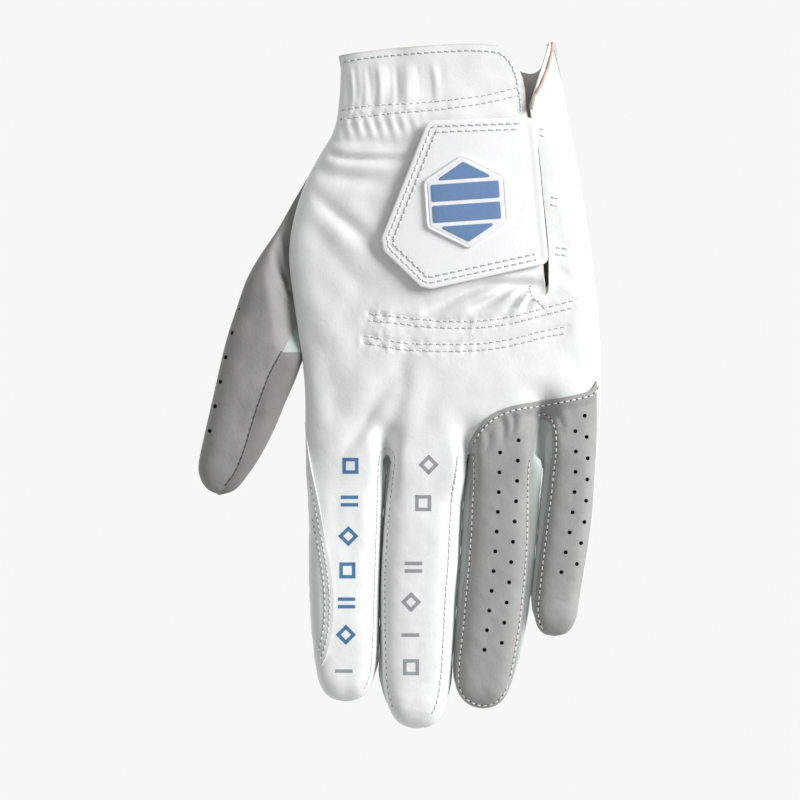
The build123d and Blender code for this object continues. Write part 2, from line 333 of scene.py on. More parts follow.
def gridNormals(grid):
    normal = np.cross(np.gradient(grid, axis=1), np.gradient(grid, axis=0))
    size = np.linalg.norm(normal, axis=2, keepdims=True)
    normal = normal / np.maximum(size, 1e-9)
    for row in (0, -1):
        if np.ptp(grid[row], axis=0).max() < 1e-6:
            inner = normal[1 if row == 0 else -2].mean(axis=0)
            normal[row] = inner / max(np.linalg.norm(inner), 1e-9)
    return normal


def makeMesh(name, points, faces, materials, faceMaterial=None, sharp=creaseAngle):
    mesh = bpy.data.meshes.new(name)
    mesh.from_pydata([tuple(p) for p in np.asarray(points) * mm], [], faces)
    for material in materials:
        mesh.materials.append(material)
    if faceMaterial is not None:
        mesh.polygons.foreach_set("material_index", faceMaterial)
    mesh.polygons.foreach_set("use_smooth", [True] * len(mesh.polygons))
    piece = bpy.data.objects.new(name, mesh)
    bpy.context.scene.collection.objects.link(piece)
    work = bmesh.new()
    work.from_mesh(mesh)
    bmesh.ops.remove_doubles(work, verts=work.verts, dist=2e-6)
    bmesh.ops.recalc_face_normals(work, faces=work.faces)
    work.to_mesh(mesh)
    work.free()
    mesh.set_sharp_from_angle(angle=math.radians(sharp))
    return piece


def shell(name, grid, outer, inner, thickness=0.85, flip=False):
    # a sheet of leather with an outer and an inner face and cut edges all round
    grid = np.asarray(grid, float)
    rows, columns = grid.shape[:2]
    normal = gridNormals(grid) * (-1 if flip else 1)
    under = grid - normal * thickness
    points = np.vstack([grid.reshape(-1, 3), under.reshape(-1, 3)])
    index = np.arange(rows * columns).reshape(rows, columns)
    back = index + rows * columns
    faces, kinds = [], []
    for i in range(rows - 1):
        for j in range(columns - 1):
            faces.append((index[i, j], index[i, j + 1], index[i + 1, j + 1], index[i + 1, j]))
            faces.append((back[i, j], back[i + 1, j], back[i + 1, j + 1], back[i, j + 1]))
            kinds += [0, 1]
    rim = list(index[0]) + list(index[1:, -1]) + list(index[-1, -2::-1]) + list(index[-2:0:-1, 0])
    for a, b in zip(rim, rim[1:] + rim[:1]):
        faces.append((a, b, b + rows * columns, a + rows * columns))
        kinds.append(0)
    return makeMesh(name, points, [tuple(int(v) for v in f) for f in faces], [outer, inner], kinds)


def between(left, right, columns, spacing="even"):
    # a flat grid whose rows run from one line to the other
    t = np.linspace(0, 1, columns)
    if spacing == "both":
        t = 0.5 - 0.5 * np.cos(math.pi * t)
    elif spacing == "left":
        t = 1 - np.cos(math.pi / 2 * t)
    elif spacing == "right":
        t = np.sin(math.pi / 2 * t)
    return left[:, None, :] * (1 - t)[None, :, None] + right[:, None, :] * t[None, :, None]


def fillFour(top, bottom, left, right, spread):
    # a flat grid that fills four lines: top and bottom run across, left and right run down
    u = spread[None, :, None]
    v = np.linspace(0, 1, len(left))[:, None, None]
    across = left[:, None, :] * (1 - u) + right[:, None, :] * u
    down = top[None, :, :] * (1 - v) + bottom[None, :, :] * v
    corner = (top[0] * (1 - u) * (1 - v) + top[-1] * u * (1 - v) + bottom[0] * (1 - u) * v + bottom[-1] * u * v)
    return across + down - corner


print("tools are ready")


# the hand
hand = {
    "height": 15.4,
    "cuffHeight": 13.2,
    "sideSeam": 7.4,
    "edge": 8.5,
    "crown": 0.55,
    "lap": 1.7,
    "radialSide": [(-19.4, 113), (-19.3, 104), (-19.8, 95), (-21.4, 85), (-25.9, 77), (-30.2, 69), (-33.6, 60),
                   (-35.7, 51), (-36.4, 42), (-35.2, 31), (-33.6, 20), (-32.0, 9), (-31.1, -2), (-31.0, -14),
                   (-30.7, -28)],
    "ulnarSide": [(50.8, 113.8), (53.4, 103), (55.6, 90), (58.4, 76), (61.0, 61), (63.4, 45), (65.2, 30),
                  (66.5, 14), (66.6, -4), (65.4, -28)],
    "cuffEdge": [(-19.4, 108.9), (-10, 110.2), (0.3, 111.2), (12, 112.0), (23.4, 112.5), (32.5, 111.9)],
    "slitEdge": [(32.5, 111.9), (35.8, 110.2), (38.5, 107.2), (40.4, 102.5), (41.5, 97), (42.0, 90.1),
                 (43.6, 75), (45.2, 60), (46.8, 45), (48.0, 32.6)],
    "flapEdge": [(49.8, 113.5), (47.8, 107.0), (45.6, 100.0), (43.9, 94.4), (43.4, 90.6), (46.0, 78),
                 (47.6, 62), (49.2, 47), (49.4, 32.6)],
    "insertEdge": [(22.9, -20.9), (23.4, -18.2), (25.2, -14.9), (28.0, -11.6), (31.0, -9.3), (35.0, -7.4),
                   (39.8, -6.1), (47.3, -5.0), (54, -3.8), (60.0, -2.5), (63.4, -1.3), (65.4, 1.6)],
    "crotches": [(-4.0, -22.4, 7.0, 2.6), (22.9, -22.4, 6.0, 2.4), (47.4, -11.2, 6.5, 3.2)],
}
# each fold: its line, its half width, its depth and the width of its raised lips
folds = [
    ([(46.2, 34.5), (38, 33.6), (27.6, 33.0), (19.0, 29.6), (10.0, 24.6)], 1.9, 1.9, 3.4),
    ([(46.6, 33.6), (38.6, 32.8), (31.6, 29.0), (24.6, 25.4)], 1.5, 1.8, 2.6),
    ([(47.0, 32.6), (41.6, 31.4), (37.0, 26.6), (33.5, 22.6)], 1.3, 1.5, 2.2),
    ([(47.4, 31.6), (43.4, 28.8), (41.0, 24.5)], 1.1, 1.3, 1.8),
    ([(-25.6, 78.2), (-19.5, 75.4), (-11, 74.6), (-1.0, 74.8), (5.0, 76.0)], 1.5, 1.35, 3.0),
    ([(-24.8, 80.2), (-18.0, 80.6), (-8.0, 80.4), (2.0, 79.6)], 2.2, 0.75, 3.2),
    ([(-22.4, 85.0), (-10.0, 84.6), (4.0, 85.6), (9, 87)], 2.4, 0.5, 3.6),
    ([(-28.6, 72.5), (-22.0, 69.5), (-12.0, 68.0), (-3.0, 67.4)], 2.6, 0.75, 4.2),
    ([(-28.6, 64.5), (-23.4, 58.8), (-16.0, 52.5), (-8.6, 46.5), (-2.5, 40.5)], 2.8, 1.0, 4.6),
    ([(-31.0, 57.0), (-25.0, 48.0), (-17.0, 38.0), (-10.0, 31.0)], 4.2, 0.55, 6.0),
    ([(4.0, 12.0), (-2.0, 3.0), (-10.0, -9.0), (-17.0, -21.0)], 4.0, 0.75, 6.0),
    ([(1.0, 9.0), (1.5, 0.0), (-1.0, -8.0), (-3.0, -15.0)], 2.6, 0.45, 4.0),
    ([(-7.0, -4.0), (-12.0, -14.0), (-19.0, -23.0)], 2.0, 0.35, 3.4),
    ([(12.0, 4.0), (9.0, -6.0), (8.0, -18.0)], 4.0, 0.35, 6.0),
    ([(-30.0, 20.0), (-24.0, 8.0), (-22.0, -8.0)], 4.0, 0.35, 5.5),
    ([(33.2, -9.6), (34.6, -13.4), (34.2, -18.0)], 1.5, 0.55, 2.2),
    ([(37.2, -8.4), (37.8, -12.6), (37.0, -16.8)], 1.2, 0.45, 1.8),
    ([(42.0, -7.4), (42.2, -10.6), (41.2, -14.4)], 1.3, 0.5, 2.0),
    ([(28.4, -14.0), (29.6, -18.0), (28.0, -22.0)], 1.6, 0.4, 2.4),
    ([(51.4, -8.4), (53.4, -12.0), (53.6, -15.4)], 1.3, 0.4, 2.0),
    ([(50.6, 88.0), (55.0, 84.0)], 1.6, 0.35, 2.6),
    ([(51.0, 40.0), (55.4, 36.0), (60.0, 34.5)], 1.8, 0.4, 2.8),
]
# rows sewn over elastic: the line, the depth of its furrow and the strength of the gathers round it
drawnRows = [
    ([(-9.6, 23.8), (0.3, 22.7), (11.7, 21.5), (24.4, 21.3), (36.4, 22.7), (49, 26.0), (58.4, 28.4)], 0.34,
     0.22),
    ([(-10.4, 21.6), (0.3, 20.5), (11.7, 19.3), (24.4, 19.1), (36.4, 20.5), (49, 23.7), (58.0, 26.0)], 0.30,
     0.20),
    ([(-11.2, 16.5), (0.3, 14.4), (12.3, 13.7), (25.4, 13.9), (36.3, 15.3), (47.3, 18.1), (55.6, 19.6)], 0.34,
     0.22),
    ([(-11.4, 14.2), (0.3, 12.2), (12.3, 11.5), (25.4, 11.7), (36.3, 13.1), (47.3, 15.9), (55.4, 17.4)], 0.30,
     0.20),
    ([(-18.6, 91.2), (-8.6, 92.5), (4.2, 93.2), (14.4, 94.0), (26.5, 95.5), (36.6, 97.8), (40.2, 98.8)], 0.36,
     0.12),
    ([(-19.0, 88.2), (-11.4, 88.9), (-0.8, 90.0), (11.3, 90.9), (17.4, 91.6), (27, 93.0), (37.6, 95.3),
      (40.6, 96.0)], 0.34, 0.12),
]
gathers = {
    "furrowWidth": 0.7,
    "reach": 2.4,             # on each side of a sewn row
    "pleatCentre": 99.0,      # the cuff's pleats over the wrist elastic
    "pleatReach": 6.5,
    "pleatDepth": 0.50,
    "wander": 0.5,            # how far a pleat strays sideways
    "ruffleCentre": 85.5,     # fine ruffles below the cuff's rows
    "ruffleReach": 3.5,
    "rufflePitch": 3.8,
    "ruffleDepth": 0.25,
}
unevenness = (0.22, 21, 0.07, 6.5)      # the leather's slow and quick swells: height and length of each
radialLine = smoothCurve(hand["radialSide"], 300)[::-1]
ulnarLine = smoothCurve(hand["ulnarSide"], 300)[::-1]


def radialAt(y):
    return np.interp(y, radialLine[:, 1], radialLine[:, 0])


def ulnarAt(y):
    return np.interp(y, ulnarLine[:, 1], ulnarLine[:, 0])


def foldRelief(x, y):
    relief = np.zeros(np.shape(x))
    for line, width, depth, lip in folds:
        away, along = distanceTo(x, y, smoothCurve(line, 14))
        fade = np.sin(np.clip(along, 0.02, 0.98) * math.pi) ** 0.5
        relief -= depth * fade * np.exp(-(away / width) ** 2)
        relief += 0.55 * depth * fade * np.exp(-((away - 1.5 * width) / lip) ** 2)
    for line, depth, gather in drawnRows:
        away, along = distanceTo(x, y, line)
        relief -= depth * np.exp(-(away / gathers["furrowWidth"]) ** 2)
        ruffle = ripple(x, y * 0.35, 2.6, 5) * np.exp(-(away / gathers["reach"]) ** 2)
        relief += gather * ruffle * (1.2 - along)
    pleats = np.exp(-((y - gathers["pleatCentre"]) / gathers["pleatReach"]) ** 4)
    pleats = pleats * smoothStep((x + 21) / 5) * smoothStep((17 - x) / 7)
    wander = x + gathers["wander"] * np.sin(y / 4.1)
    pleats = pleats * (ripple(wander, y * 0.10, 4.6, 6) + 0.5 * ripple(wander, y * 0.12, 2.4, 7))
    relief += gathers["pleatDepth"] * pleats
    below = np.exp(-((y - gathers["ruffleCentre"]) / gathers["ruffleReach"]) ** 2) * smoothStep((12 - x) / 10)
    relief += gathers["ruffleDepth"] * below * np.sin((x + 0.3 * y) * 2 * math.pi / gathers["rufflePitch"])
    return relief


def handTop(x, y, relief=True):
    # the outside of the back of the hand, over any place on the hand or the fingers' roots
    x, y = np.asarray(x, float), np.asarray(y, float)
    left, right = radialAt(y), ulnarAt(y)
    side = np.clip((2 * x - left - right) / (right - left), -1, 1)
    inward = np.clip(np.minimum(x - left, right - x) / hand["edge"], 0, 1)
    roundness = np.sqrt(np.maximum(0, 1 - (1 - inward) ** 2))
    full = hand["height"] + (hand["cuffHeight"] - hand["height"]) * smoothStep((y - 84) / 22)
    full = full - 0.9 * smoothStep((6 - y) / 26)
    arch = (1 - hand["crown"]) * roundness + hand["crown"] * (1 - side ** 2)
    top = hand["sideSeam"] + (full - hand["sideSeam"]) * arch
    for cx, cy, depth, width in hand["crotches"]:
        near = np.exp(-((x - cx) / (width + 0.18 * np.maximum(y - cy, 0))) ** 2)
        top = top - depth * near * smoothStep(1 - (y - cy) / 17.0) ** 1.5
    if relief:
        top = top + foldRelief(x, y) * smoothStep(inward * 2.2)
        slow, slowLength, quick, quickLength = unevenness
        top = top + slow * ripple(x, y, slowLength, 3) + quick * ripple(x, y, quickLength, 4)
    return top


def lay(flat, height):
    return np.concatenate([flat, height[..., None]], axis=2)


def layOn(flat, surface):
    # the flat grid laid over a surface, which gives a height for every place
    return lay(flat, surface(flat[..., 0], flat[..., 1]))


back = {
    "rows": 170,
    "columns": 118,
    "flapColumns": 34,
    "splitX": 48.4,           # the two leaves meet here, below the slit
    "thickness": 0.85,
    "curl": 3.2,              # how far the flap's edge stands up
    "curlWidth": 2.2,
    "fingerEdge": [(-30.8, -25.0), (-18.0, -25.0), (-5.35, -25.0), (-4.9, -23.6), (-4.0, -22.4), (-3.1, -23.6),
                   (-2.7, -25.4), (10.0, -25.4), (22.3, -25.4), (22.7, -22.6)],
}


def buildBack():
    # the white back, in two leaves that meet below the slit
    rows, wide, splitX = back["rows"], back["columns"], back["splitX"]
    insert = smoothCurve(hand["insertEdge"], 240)
    insert = insert + sideways(insert) * -hand["lap"]
    seam = insert[insert[:, 0] <= splitX]
    seam = seam[seam[:, 0] > 22.6]
    bottomLine = np.vstack([back["fingerEdge"], seam])
    radial = radialLine[::-1]
    radial = radial[(radial[:, 1] <= 108.9) & (radial[:, 1] >= -25.0)]
    slit = smoothCurve(hand["slitEdge"], 400)
    left = smoothCurve(np.vstack([[hand["cuffEdge"][0]], radial[4::10], [bottomLine[0]]]), rows)
    right = evenly(np.vstack([slit, smoothCurve([(48.2, 31.6), (splitX, 20), (splitX, 6), seam[-1]], 100)]),
                   np.linspace(0, 1, rows))
    spread = 1 - np.cos(math.pi / 2 * np.linspace(0, 1, wide))
    flat = fillFour(evenly(smoothCurve(hand["cuffEdge"], wide), spread), evenly(bottomLine, spread), left,
                    right, spread)
    main = shell("backRadialLeaf", layOn(flat, handTop), whiteLeather, fleshSide, back["thickness"], flip=True)

    # the narrow leaf on the little finger's side, whose edge curls up beside the slit
    low = right[right[:, 1] <= 31.8]
    flap = smoothCurve(np.vstack([hand["flapEdge"], low[2::6], [low[-1]]]), rows)
    outer = ulnarLine[::-1]
    outer = outer[(outer[:, 1] <= 113.4) & (outer[:, 1] >= 0.4)]
    outer = outer - np.array([0.9, 0])
    ulnar = smoothCurve(np.vstack([outer[::9], [(ulnarAt(-3.6) - 0.9, -3.6)]]), rows)
    grid = between(flap, ulnar, back["flapColumns"], "right")
    height = handTop(grid[..., 0], grid[..., 1])
    away = np.linalg.norm(grid - flap[:, None, :], axis=2)
    height = height + back["curl"] * np.exp(-(away / back["curlWidth"]) ** 2) * smoothStep((grid[..., 1] - 86)
            / 16)
    leaf = shell("backUlnarLeaf", lay(grid, height), whiteLeather, fleshSide, back["thickness"], flip=True)
    return main, leaf


def finishPiece(piece, body, slotName, *nodes):
    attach(piece, body)
    if nodes:
        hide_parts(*nodes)


for leaf in buildBack():
    finishPiece(leaf, "hand", "back_leather", "back_panel")
print("back of the hand is laid")


# the fingers
# for each wall, left then right: how far it bulges, how much less it does at the tip, how full it is low down,
# the finger beside it and its share of the gap to that finger
fingers = {
    "index": {
        "left": [(-31.0, -20), (-30.8, -25), (-29.9, -36.8), (-29.5, -47.5), (-29.7, -58.3), (-29.4, -69),
                 (-28.7, -81.9), (-27.3, -94.1), (-25.6, -99.9), (-22.6, -103.2), (-18.0, -104.5)],
        "right": [(-4.8, -20), (-5.3, -25), (-5.6, -35), (-6.0, -47.5), (-6.5, -61.9), (-6.9, -76.2),
                  (-7.5, -90), (-8.6, -97), (-10.9, -101.6), (-14.1, -103.8), (-18.0, -104.5)],
        "root": -25.0, "top": 13.3,
        "bulges": (0.5, 1.7), "taper": (0.45, 0.3), "fullness": (0.5, 0.5),
        "beside": (None, "middle"), "share": (1, 0.5),
        "joint": (-17.6, -25.0), "tip": (-17.9, -94.4),
        "walls": ("index_side", "index_fourchette"),
        "leathers": ("palm", "gusset"), "back": "white",
    },
    "middle": {
        "left": [(-2.2, -20), (-2.7, -25.4), (-4.2, -38), (-5.5, -54.7), (-6.0, -69), (-5.6, -91.9),
                 (-5.0, -100), (-3.4, -106.3), (-0.9, -110.6), (2.6, -112.8), (6.2, -113.4)],
        "right": [(22.6, -20), (22.3, -25.4), (21.6, -31), (20.5, -38.1), (19.9, -48.1), (19.4, -58.9),
                  (18.5, -69.6), (18.0, -80.4), (17.4, -91.1), (16.8, -98.2), (15.6, -105), (13.4, -110.0),
                  (10.4, -112.6), (6.2, -113.4)],
        "root": -25.4, "top": 13.6,
        "bulges": (1.7, 1.2), "taper": (0.3, 0.5), "fullness": (0.5, 0.6),
        "beside": ("index", "ring"), "share": (0.5, 0.3),
        "joint": (8.9, -26.0), "tip": (6.1, -102.3),
        "walls": ("middle_fourchette_radial", "middle_fourchette_ulnar"),
        "leathers": ("gusset", "gusset"), "back": "white",
    },
    "ring": {
        "left": [(22.9, -18), (23.3, -22.2), (23.7, -30), (23.2, -38.1), (22.8, -48.1), (22.0, -58.9),
                 (21.0, -69.6), (20.2, -78.9), (19.2, -87.5), (18.6, -94.6), (18.9, -99.7), (21.0, -103.6),
                 (24.2, -106.0), (28.0, -106.8)],
        "right": [(45.4, -18), (44.6, -22.2), (43.7, -30), (43.5, -48.1), (42.8, -60.4), (41.9, -69.6),
                  (41.0, -77.8), (39.9, -85.3), (38.5, -93.2), (37.0, -98.6), (35.0, -103.0), (32.0, -105.8),
                  (28.0, -106.8)],
        "root": -22.2, "top": 13.2,
        "bulges": (2.8, 3.9), "taper": (0.5, 0.95), "fullness": (0.62, 0.85),
        "beside": ("middle", "little"), "share": (0.7, 0.55),
        "joint": (33.8, -21.0), "tip": (27.9, -97.0),
        "walls": ("ring_fourchette_radial", "ring_fourchette_ulnar"),
        "leathers": ("gusset", "gusset"), "back": "grey",
    },
    "little": {
        "left": [(49.6, -9), (50.4, -13.6), (50.8, -20), (50.0, -28.1), (48.9, -38.1), (47.5, -49.5),
                 (46.3, -58.9), (45.3, -68.2), (44.8, -74.6), (45.7, -79.3), (48.0, -82.0), (51.6, -82.8)],
        "right": [(65.6, -9), (65.5, -13.6), (65.2, -21.6), (64.6, -32), (63.9, -42.4), (62.6, -52.4),
                  (61.2, -61), (59.9, -68.7), (59.0, -75), (57.6, -79.2), (55.2, -81.9), (51.6, -82.8)],
        "root": -13.6, "top": 12.6,
        "bulges": (2.6, 0.5), "taper": (0.3, 0.45), "fullness": (0.7, 0.5),
        "beside": ("ring", None), "share": (0.45, 1),
        "joint": (58.2, -13.0), "tip": (51.2, -75.0),
        "walls": ("little_fourchette", "little_side"),
        "leathers": ("gusset", "palm"), "back": "grey",
    },
}
stall = {
    "rows": 104,
    "columns": 40,
    "wallColumns": 14,
    "edgeHeight": 8.0,
    "tipLength": 10.0,
    "palmTipLength": 8.0,
    "shoulder": 3.4,          # higher is a boxier cross section
    "bendLength": 17.0,
    "leatherThickness": 0.8,
    "wallThickness": 0.7,
    "palmInset": 0.022,       # of the finger's width, on each side
    "palmTurnUp": 3.2,
    "wallFoot": 2.9,
    "wallFade": (0.80, 0.14),   # a wall's swelling dies out from here to the tip, over this much of the length
}
# the gusset leather on the fourchette walls is painted shade
stallLeathers = {"white": (whiteLeather, fleshSide), "grey": (greyLeather, greyFlesh),
                 "palm": (palmLeather, paleFlesh), "gusset": (paintedShadeGussetLeather, paleFlesh)}


def sideOf(name, which, y):
    line = smoothCurve(fingers[name][which], 260)[::-1]
    return np.interp(y, line[:, 1], line[:, 0])


def stallTop(name, x, y):
    # the outside of a finger's back, over any place on it
    finger = fingers[name]
    x, y = np.asarray(x, float), np.asarray(y, float)
    left, right = sideOf(name, "left", y), sideOf(name, "right", y)
    side = np.clip((2 * x - left - right) / np.maximum(right - left, 0.01), -1, 1)
    apex = finger["left"][-1][1]
    nearTip = np.clip((apex + stall["tipLength"] - y) / stall["tipLength"], 0, 1)
    drop = np.sqrt(np.maximum(0, 1 - nearTip ** 2.3))
    swell = 0.32 * ripple(x, y, 26, len(name) + 30) + 0.08 * ripple(x, y, 6.0, len(name) + 50)
    crest = (finger["top"] - stall["edgeHeight"] + swell) * (1 - np.abs(side) ** stall["shoulder"]) ** 0.55
    height = stall["edgeHeight"] - 1.6 * nearTip ** 3 + crest * drop
    joined = smoothStep((finger["root"] - y) / 15.0)
    return handTop(x, y) * (1 - joined) + height * joined


def fingerSurface(name, x, y):
    # the hand's surface as far as the finger's root, and the finger's from there
    return np.where(np.asarray(y) > fingers[name]["root"], handTop(x, y), stallTop(name, x, y))


def stallRows(name, count):
    # rows of a finger from its root to its tip, closer together at the tip
    root, apex = fingers[name]["root"], fingers[name]["left"][-1][1]
    t = np.linspace(0, 1, count)
    return root + (apex - root) * np.sin(t * math.pi / 2) ** 0.92


def bendWith(piece, name, slotName, *nodes):
    if nodes:
        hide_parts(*nodes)
    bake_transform(piece)


def punch(piece, holes, radius, heightAt):
    # real round perforations through one piece of leather
    drill = bpy.data.meshes.new("drill")
    work = bmesh.new()
    for x, y in holes:
        spot = Vector((x * mm, y * mm, float(heightAt(x, y)) * mm))
        made = bmesh.ops.create_cone(work, cap_ends=True, segments=18, radius1=radius * mm,
                                     radius2=radius * mm, depth=0.006)
        bmesh.ops.translate(work, verts=made["verts"], vec=spot)
    work.to_mesh(drill)
    work.free()
    tool = bpy.data.objects.new("drill", drill)
    bpy.context.scene.collection.objects.link(tool)
    cut = piece.modifiers.new("perforations", "BOOLEAN")
    cut.object = tool
    cut.operation = "DIFFERENCE"
    cut.solver = "EXACT"
    bpy.context.view_layer.update()
    result = bpy.data.meshes.new_from_object(piece.evaluated_get(bpy.context.evaluated_depsgraph_get()))
    piece.modifiers.clear()
    piece.data = result
    bpy.data.objects.remove(tool)
    piece.data.set_sharp_from_angle(angle=math.radians(creaseAngle))


perforations = {
    "radius": 0.68,
    "seamMargin": 0.6,
    "ring": [smoothCurve([(33.3, -21.9), (32.6, -42), (30.9, -64), (28.2, -87)], 11),
             smoothCurve([(39.4, -17.9), (38.6, -38), (36.8, -60), (33.9, -84.7)], 11)],
    "little": [smoothCurve([(58.2, -14.9), (58.3, -27.2), (57.0, -44.0), (53.6, -61.4)], 8),
               smoothCurve([(61.3, -9.8), (62.3, -24.0), (61.2, -44.6), (58.7, -58.7)], 8)],
    "thumb": [smoothCurve([(-53.3, 25.7), (-57.1, 10.7), (-60.5, -5.0), (-62.6, -14.8)], 6)],
}


def holesOf(name, onStall):
    # a hole near the root seam goes through both pieces
    root, margin = fingers[name]["root"], perforations["seamMargin"]
    holes = [tuple(hole) for line in perforations[name] for hole in line]
    return [hole for hole in holes if (hole[1] < root + margin if onStall else hole[1] > root - margin)]


def buildStall(name):
    finger = fingers[name]
    outer, inner = stallLeathers[finger["back"]]
    y = stallRows(name, stall["rows"])
    left, right = sideOf(name, "left", y), sideOf(name, "right", y)
    left[-1] = right[-1] = finger["left"][-1][0]
    edges = [np.stack([line, y], axis=1) for line in (left, right)]
    flat = between(edges[0], edges[1], stall["columns"], "both")
    surface = lambda px, py: stallTop(name, px, py)
    back = shell(name + "Back", layOn(flat, surface), outer, inner, stall["leatherThickness"], flip=True)
    if finger["back"] == "grey":
        punch(back, holesOf(name, onStall=True), perforations["radius"], surface)
    bendWith(back, name, "back_leather" if finger["back"] == "white" else "perforated_leather", name + "_back")

    # the palm side, flat where it lies and turned up at its edges
    apex = finger["left"][-1][1]
    nearTip = np.clip((apex + stall["palmTipLength"] - flat[..., 1]) / stall["palmTipLength"], 0, 1)
    side = -np.cos(np.linspace(0, math.pi, stall["columns"]))[None, :] + 0 * flat[..., 0]
    width = (right - left)[:, None]
    inset = np.stack([side * width * -stall["palmInset"], restHeight * nearTip], axis=2)
    turnedUp = 1 - (1 - np.abs(side) ** 6) * np.sqrt(np.maximum(0, 1 - nearTip ** 2))
    low = restHeight + stall["palmTurnUp"] * turnedUp + 0.12 * (1 - turnedUp) * ripple(flat[..., 0],
            flat[..., 1], 9, 61)
    low = np.maximum(low, 0.05)
    palm = shell(name + "Palm", lay(flat + inset, low), palmLeather, paleFlesh, stall["leatherThickness"])
    bendWith(palm, name, "palm_leather", name + "_palm")

    # the walls between back and palm
    keys = ("bulges", "taper", "fullness", "beside", "share", "walls", "leathers")
    for which, bulge, taper, fullness, beside, share, node, kind in zip(("left", "right"),
            *(finger[key] for key in keys)):
        edge = edges[0] if which == "left" else edges[1]
        outward = sideways(edge) * (-1 if which == "left" else 1)
        along = np.clip((finger["root"] - edge[:, 1]) / (finger["root"] - apex), 0, 1)
        reach = bulge * (1 - taper * along)
        if beside:      # a wall swells only until it meets the one beside it
            gap = np.abs(sideOf(beside, "left" if which == "right" else "right", edge[:, 1]) - edge[:, 0])
            reach = np.minimum(reach, share * gap + 0.16)
        reach = reach * np.sin(np.clip(along * 18, 0, 1) * math.pi / 2) ** 0.5
        reach = reach * (1 - smoothStep((along - stall["wallFade"][0]) / stall["wallFade"][1]))
        topEdge = stallTop(name, edge[:, 0], edge[:, 1])
        t = np.linspace(0, 1, stall["wallColumns"])[None, :]
        away = bend(t, -0.75, 2 * reach[:, None] + 0.3, -0.45)
        away = away + 0.12 * ripple(edge[:, 1][:, None] + 0 * t, t * 9, 7, 71 + len(node)) * np.sin(t * math.pi)
        height = bend(t, topEdge[:, None] - 0.35, fullness * topEdge[:, None] + 1.6, stall["wallFoot"])
        grid = lay(edge[:, None, :] + outward[:, None, :] * away[..., None], height + 0.2)
        wallOuter, wallInner = stallLeathers[kind]
        words = node.split("_")
        title = words[0] + "".join(w.capitalize() for w in words[1:])
        wall = shell(title, grid, wallOuter, wallInner, stall["wallThickness"], flip=(which == "right"))
        bendWith(wall, name, "palm_leather" if kind == "palm" else "fourchette_leather", node)


for name in fingers:
    buildStall(name)
print("finger stalls are sewn")


# the grey insert over the ring and little knuckles
insert = {
    # between ring and little
    "crotch": [(46.0, -12.6), (46.7, -11.2), (47.5, -10.8), (48.4, -11.0), (49.5, -12.0)],
    "lift": 0.85,             # it lies on the white leather
    "liftFrom": 1.6,
    "liftWidth": 3.0,
    "thickness": 0.8,
}


def buildInsert():
    upper = smoothCurve(hand["insertEdge"], 300)
    ringRoot, littleRoot = fingers["ring"]["root"], fingers["little"]["root"]
    ringLeft, ringRight = [float(sideOf("ring", which, ringRoot)) for which in ("left", "right")]
    littleLeft, littleRight = [float(sideOf("little", which, littleRoot)) for which in ("left", "right")]
    lower = np.array([(22.6, -21.4), (ringLeft, ringRoot), (ringRight, ringRoot), (ringRight + 0.6, -17.0),
                      *insert["crotch"],
                      (littleLeft, littleRoot), (littleRight, littleRoot), (65.9, littleRoot)])
    x = np.r_[np.linspace(22.9, 44.4, 56), np.linspace(44.5, 50.6, 44), np.linspace(50.8, 65.4, 40)]
    high = np.interp(x, upper[:, 0], upper[:, 1])
    low = np.interp(x, lower[:, 0], lower[:, 1])
    t = np.linspace(0, 1, 60)[:, None]
    y = high[None, :] * (1 - t) + low[None, :] * t
    flat = np.stack([x[None, :] + 0 * t, y], axis=2)
    flat[..., 0] = np.minimum(flat[..., 0], ulnarAt(flat[..., 1]) - 0.9)
    away, _ = distanceTo(flat[..., 0], flat[..., 1], upper[::4])
    height = handTop(flat[..., 0], flat[..., 1])
    height = height + insert["lift"] * (1 - smoothStep((away - insert["liftFrom"]) / insert["liftWidth"]))
    piece = shell("fingerInsert", lay(flat, height), greyLeather, greyFlesh, insert["thickness"], flip=True)
    punch(piece, [hole for name in ("ring", "little") for hole in holesOf(name, onStall=False)],
          perforations["radius"], handTop)
    finishPiece(piece, "hand", "insert_leather", "finger_insert")


buildInsert()
print("insert is sewn on")


# the palm
palm = {
    "rows": 130,
    "columns": 110,
    # short tongues of the palm reach up between the fingers
    "fingerEdge": [(-31, -25.0), (-5.7, -25.2), (-4.6, -29.0), (-3.6, -29.0), (-2.6, -25.4), (21.9, -25.4),
                   (22.5, -29.5), (23.2, -28.5), (23.9, -22.4), (44.6, -22.2), (45.4, -26.5), (47.0, -28.0),
                   (48.8, -26.0), (50.4, -13.8), (66, -13.6)],
    "cuffEdge": [(-19.4, 108.9), (0.3, 111.0), (20.4, 111.8), (30, 110.6), (36, 106.5), (42, 103.6),
                 (46.6, 106.0), (51, 113.2)],
    "lifeLine": [(-33.0, 22), (-16, 26), (-4, 40), (-1, 58), (-6, 76)],
    "knuckleLine": [(-26, 8), (0, 2), (34, 6), (60, 0)],
    "edgeRadius": 6.0,
    "edgeRise": 7.0,
    "slitRise": 3.4,          # the palm lifts under the wrist slit
    "tucks": ((0.03, 1.2), (0.25, 0.75), (0.8, 0.75), (1.9, 1.0)),    # how its edge is tucked under the back
    "thickness": 0.8,
}


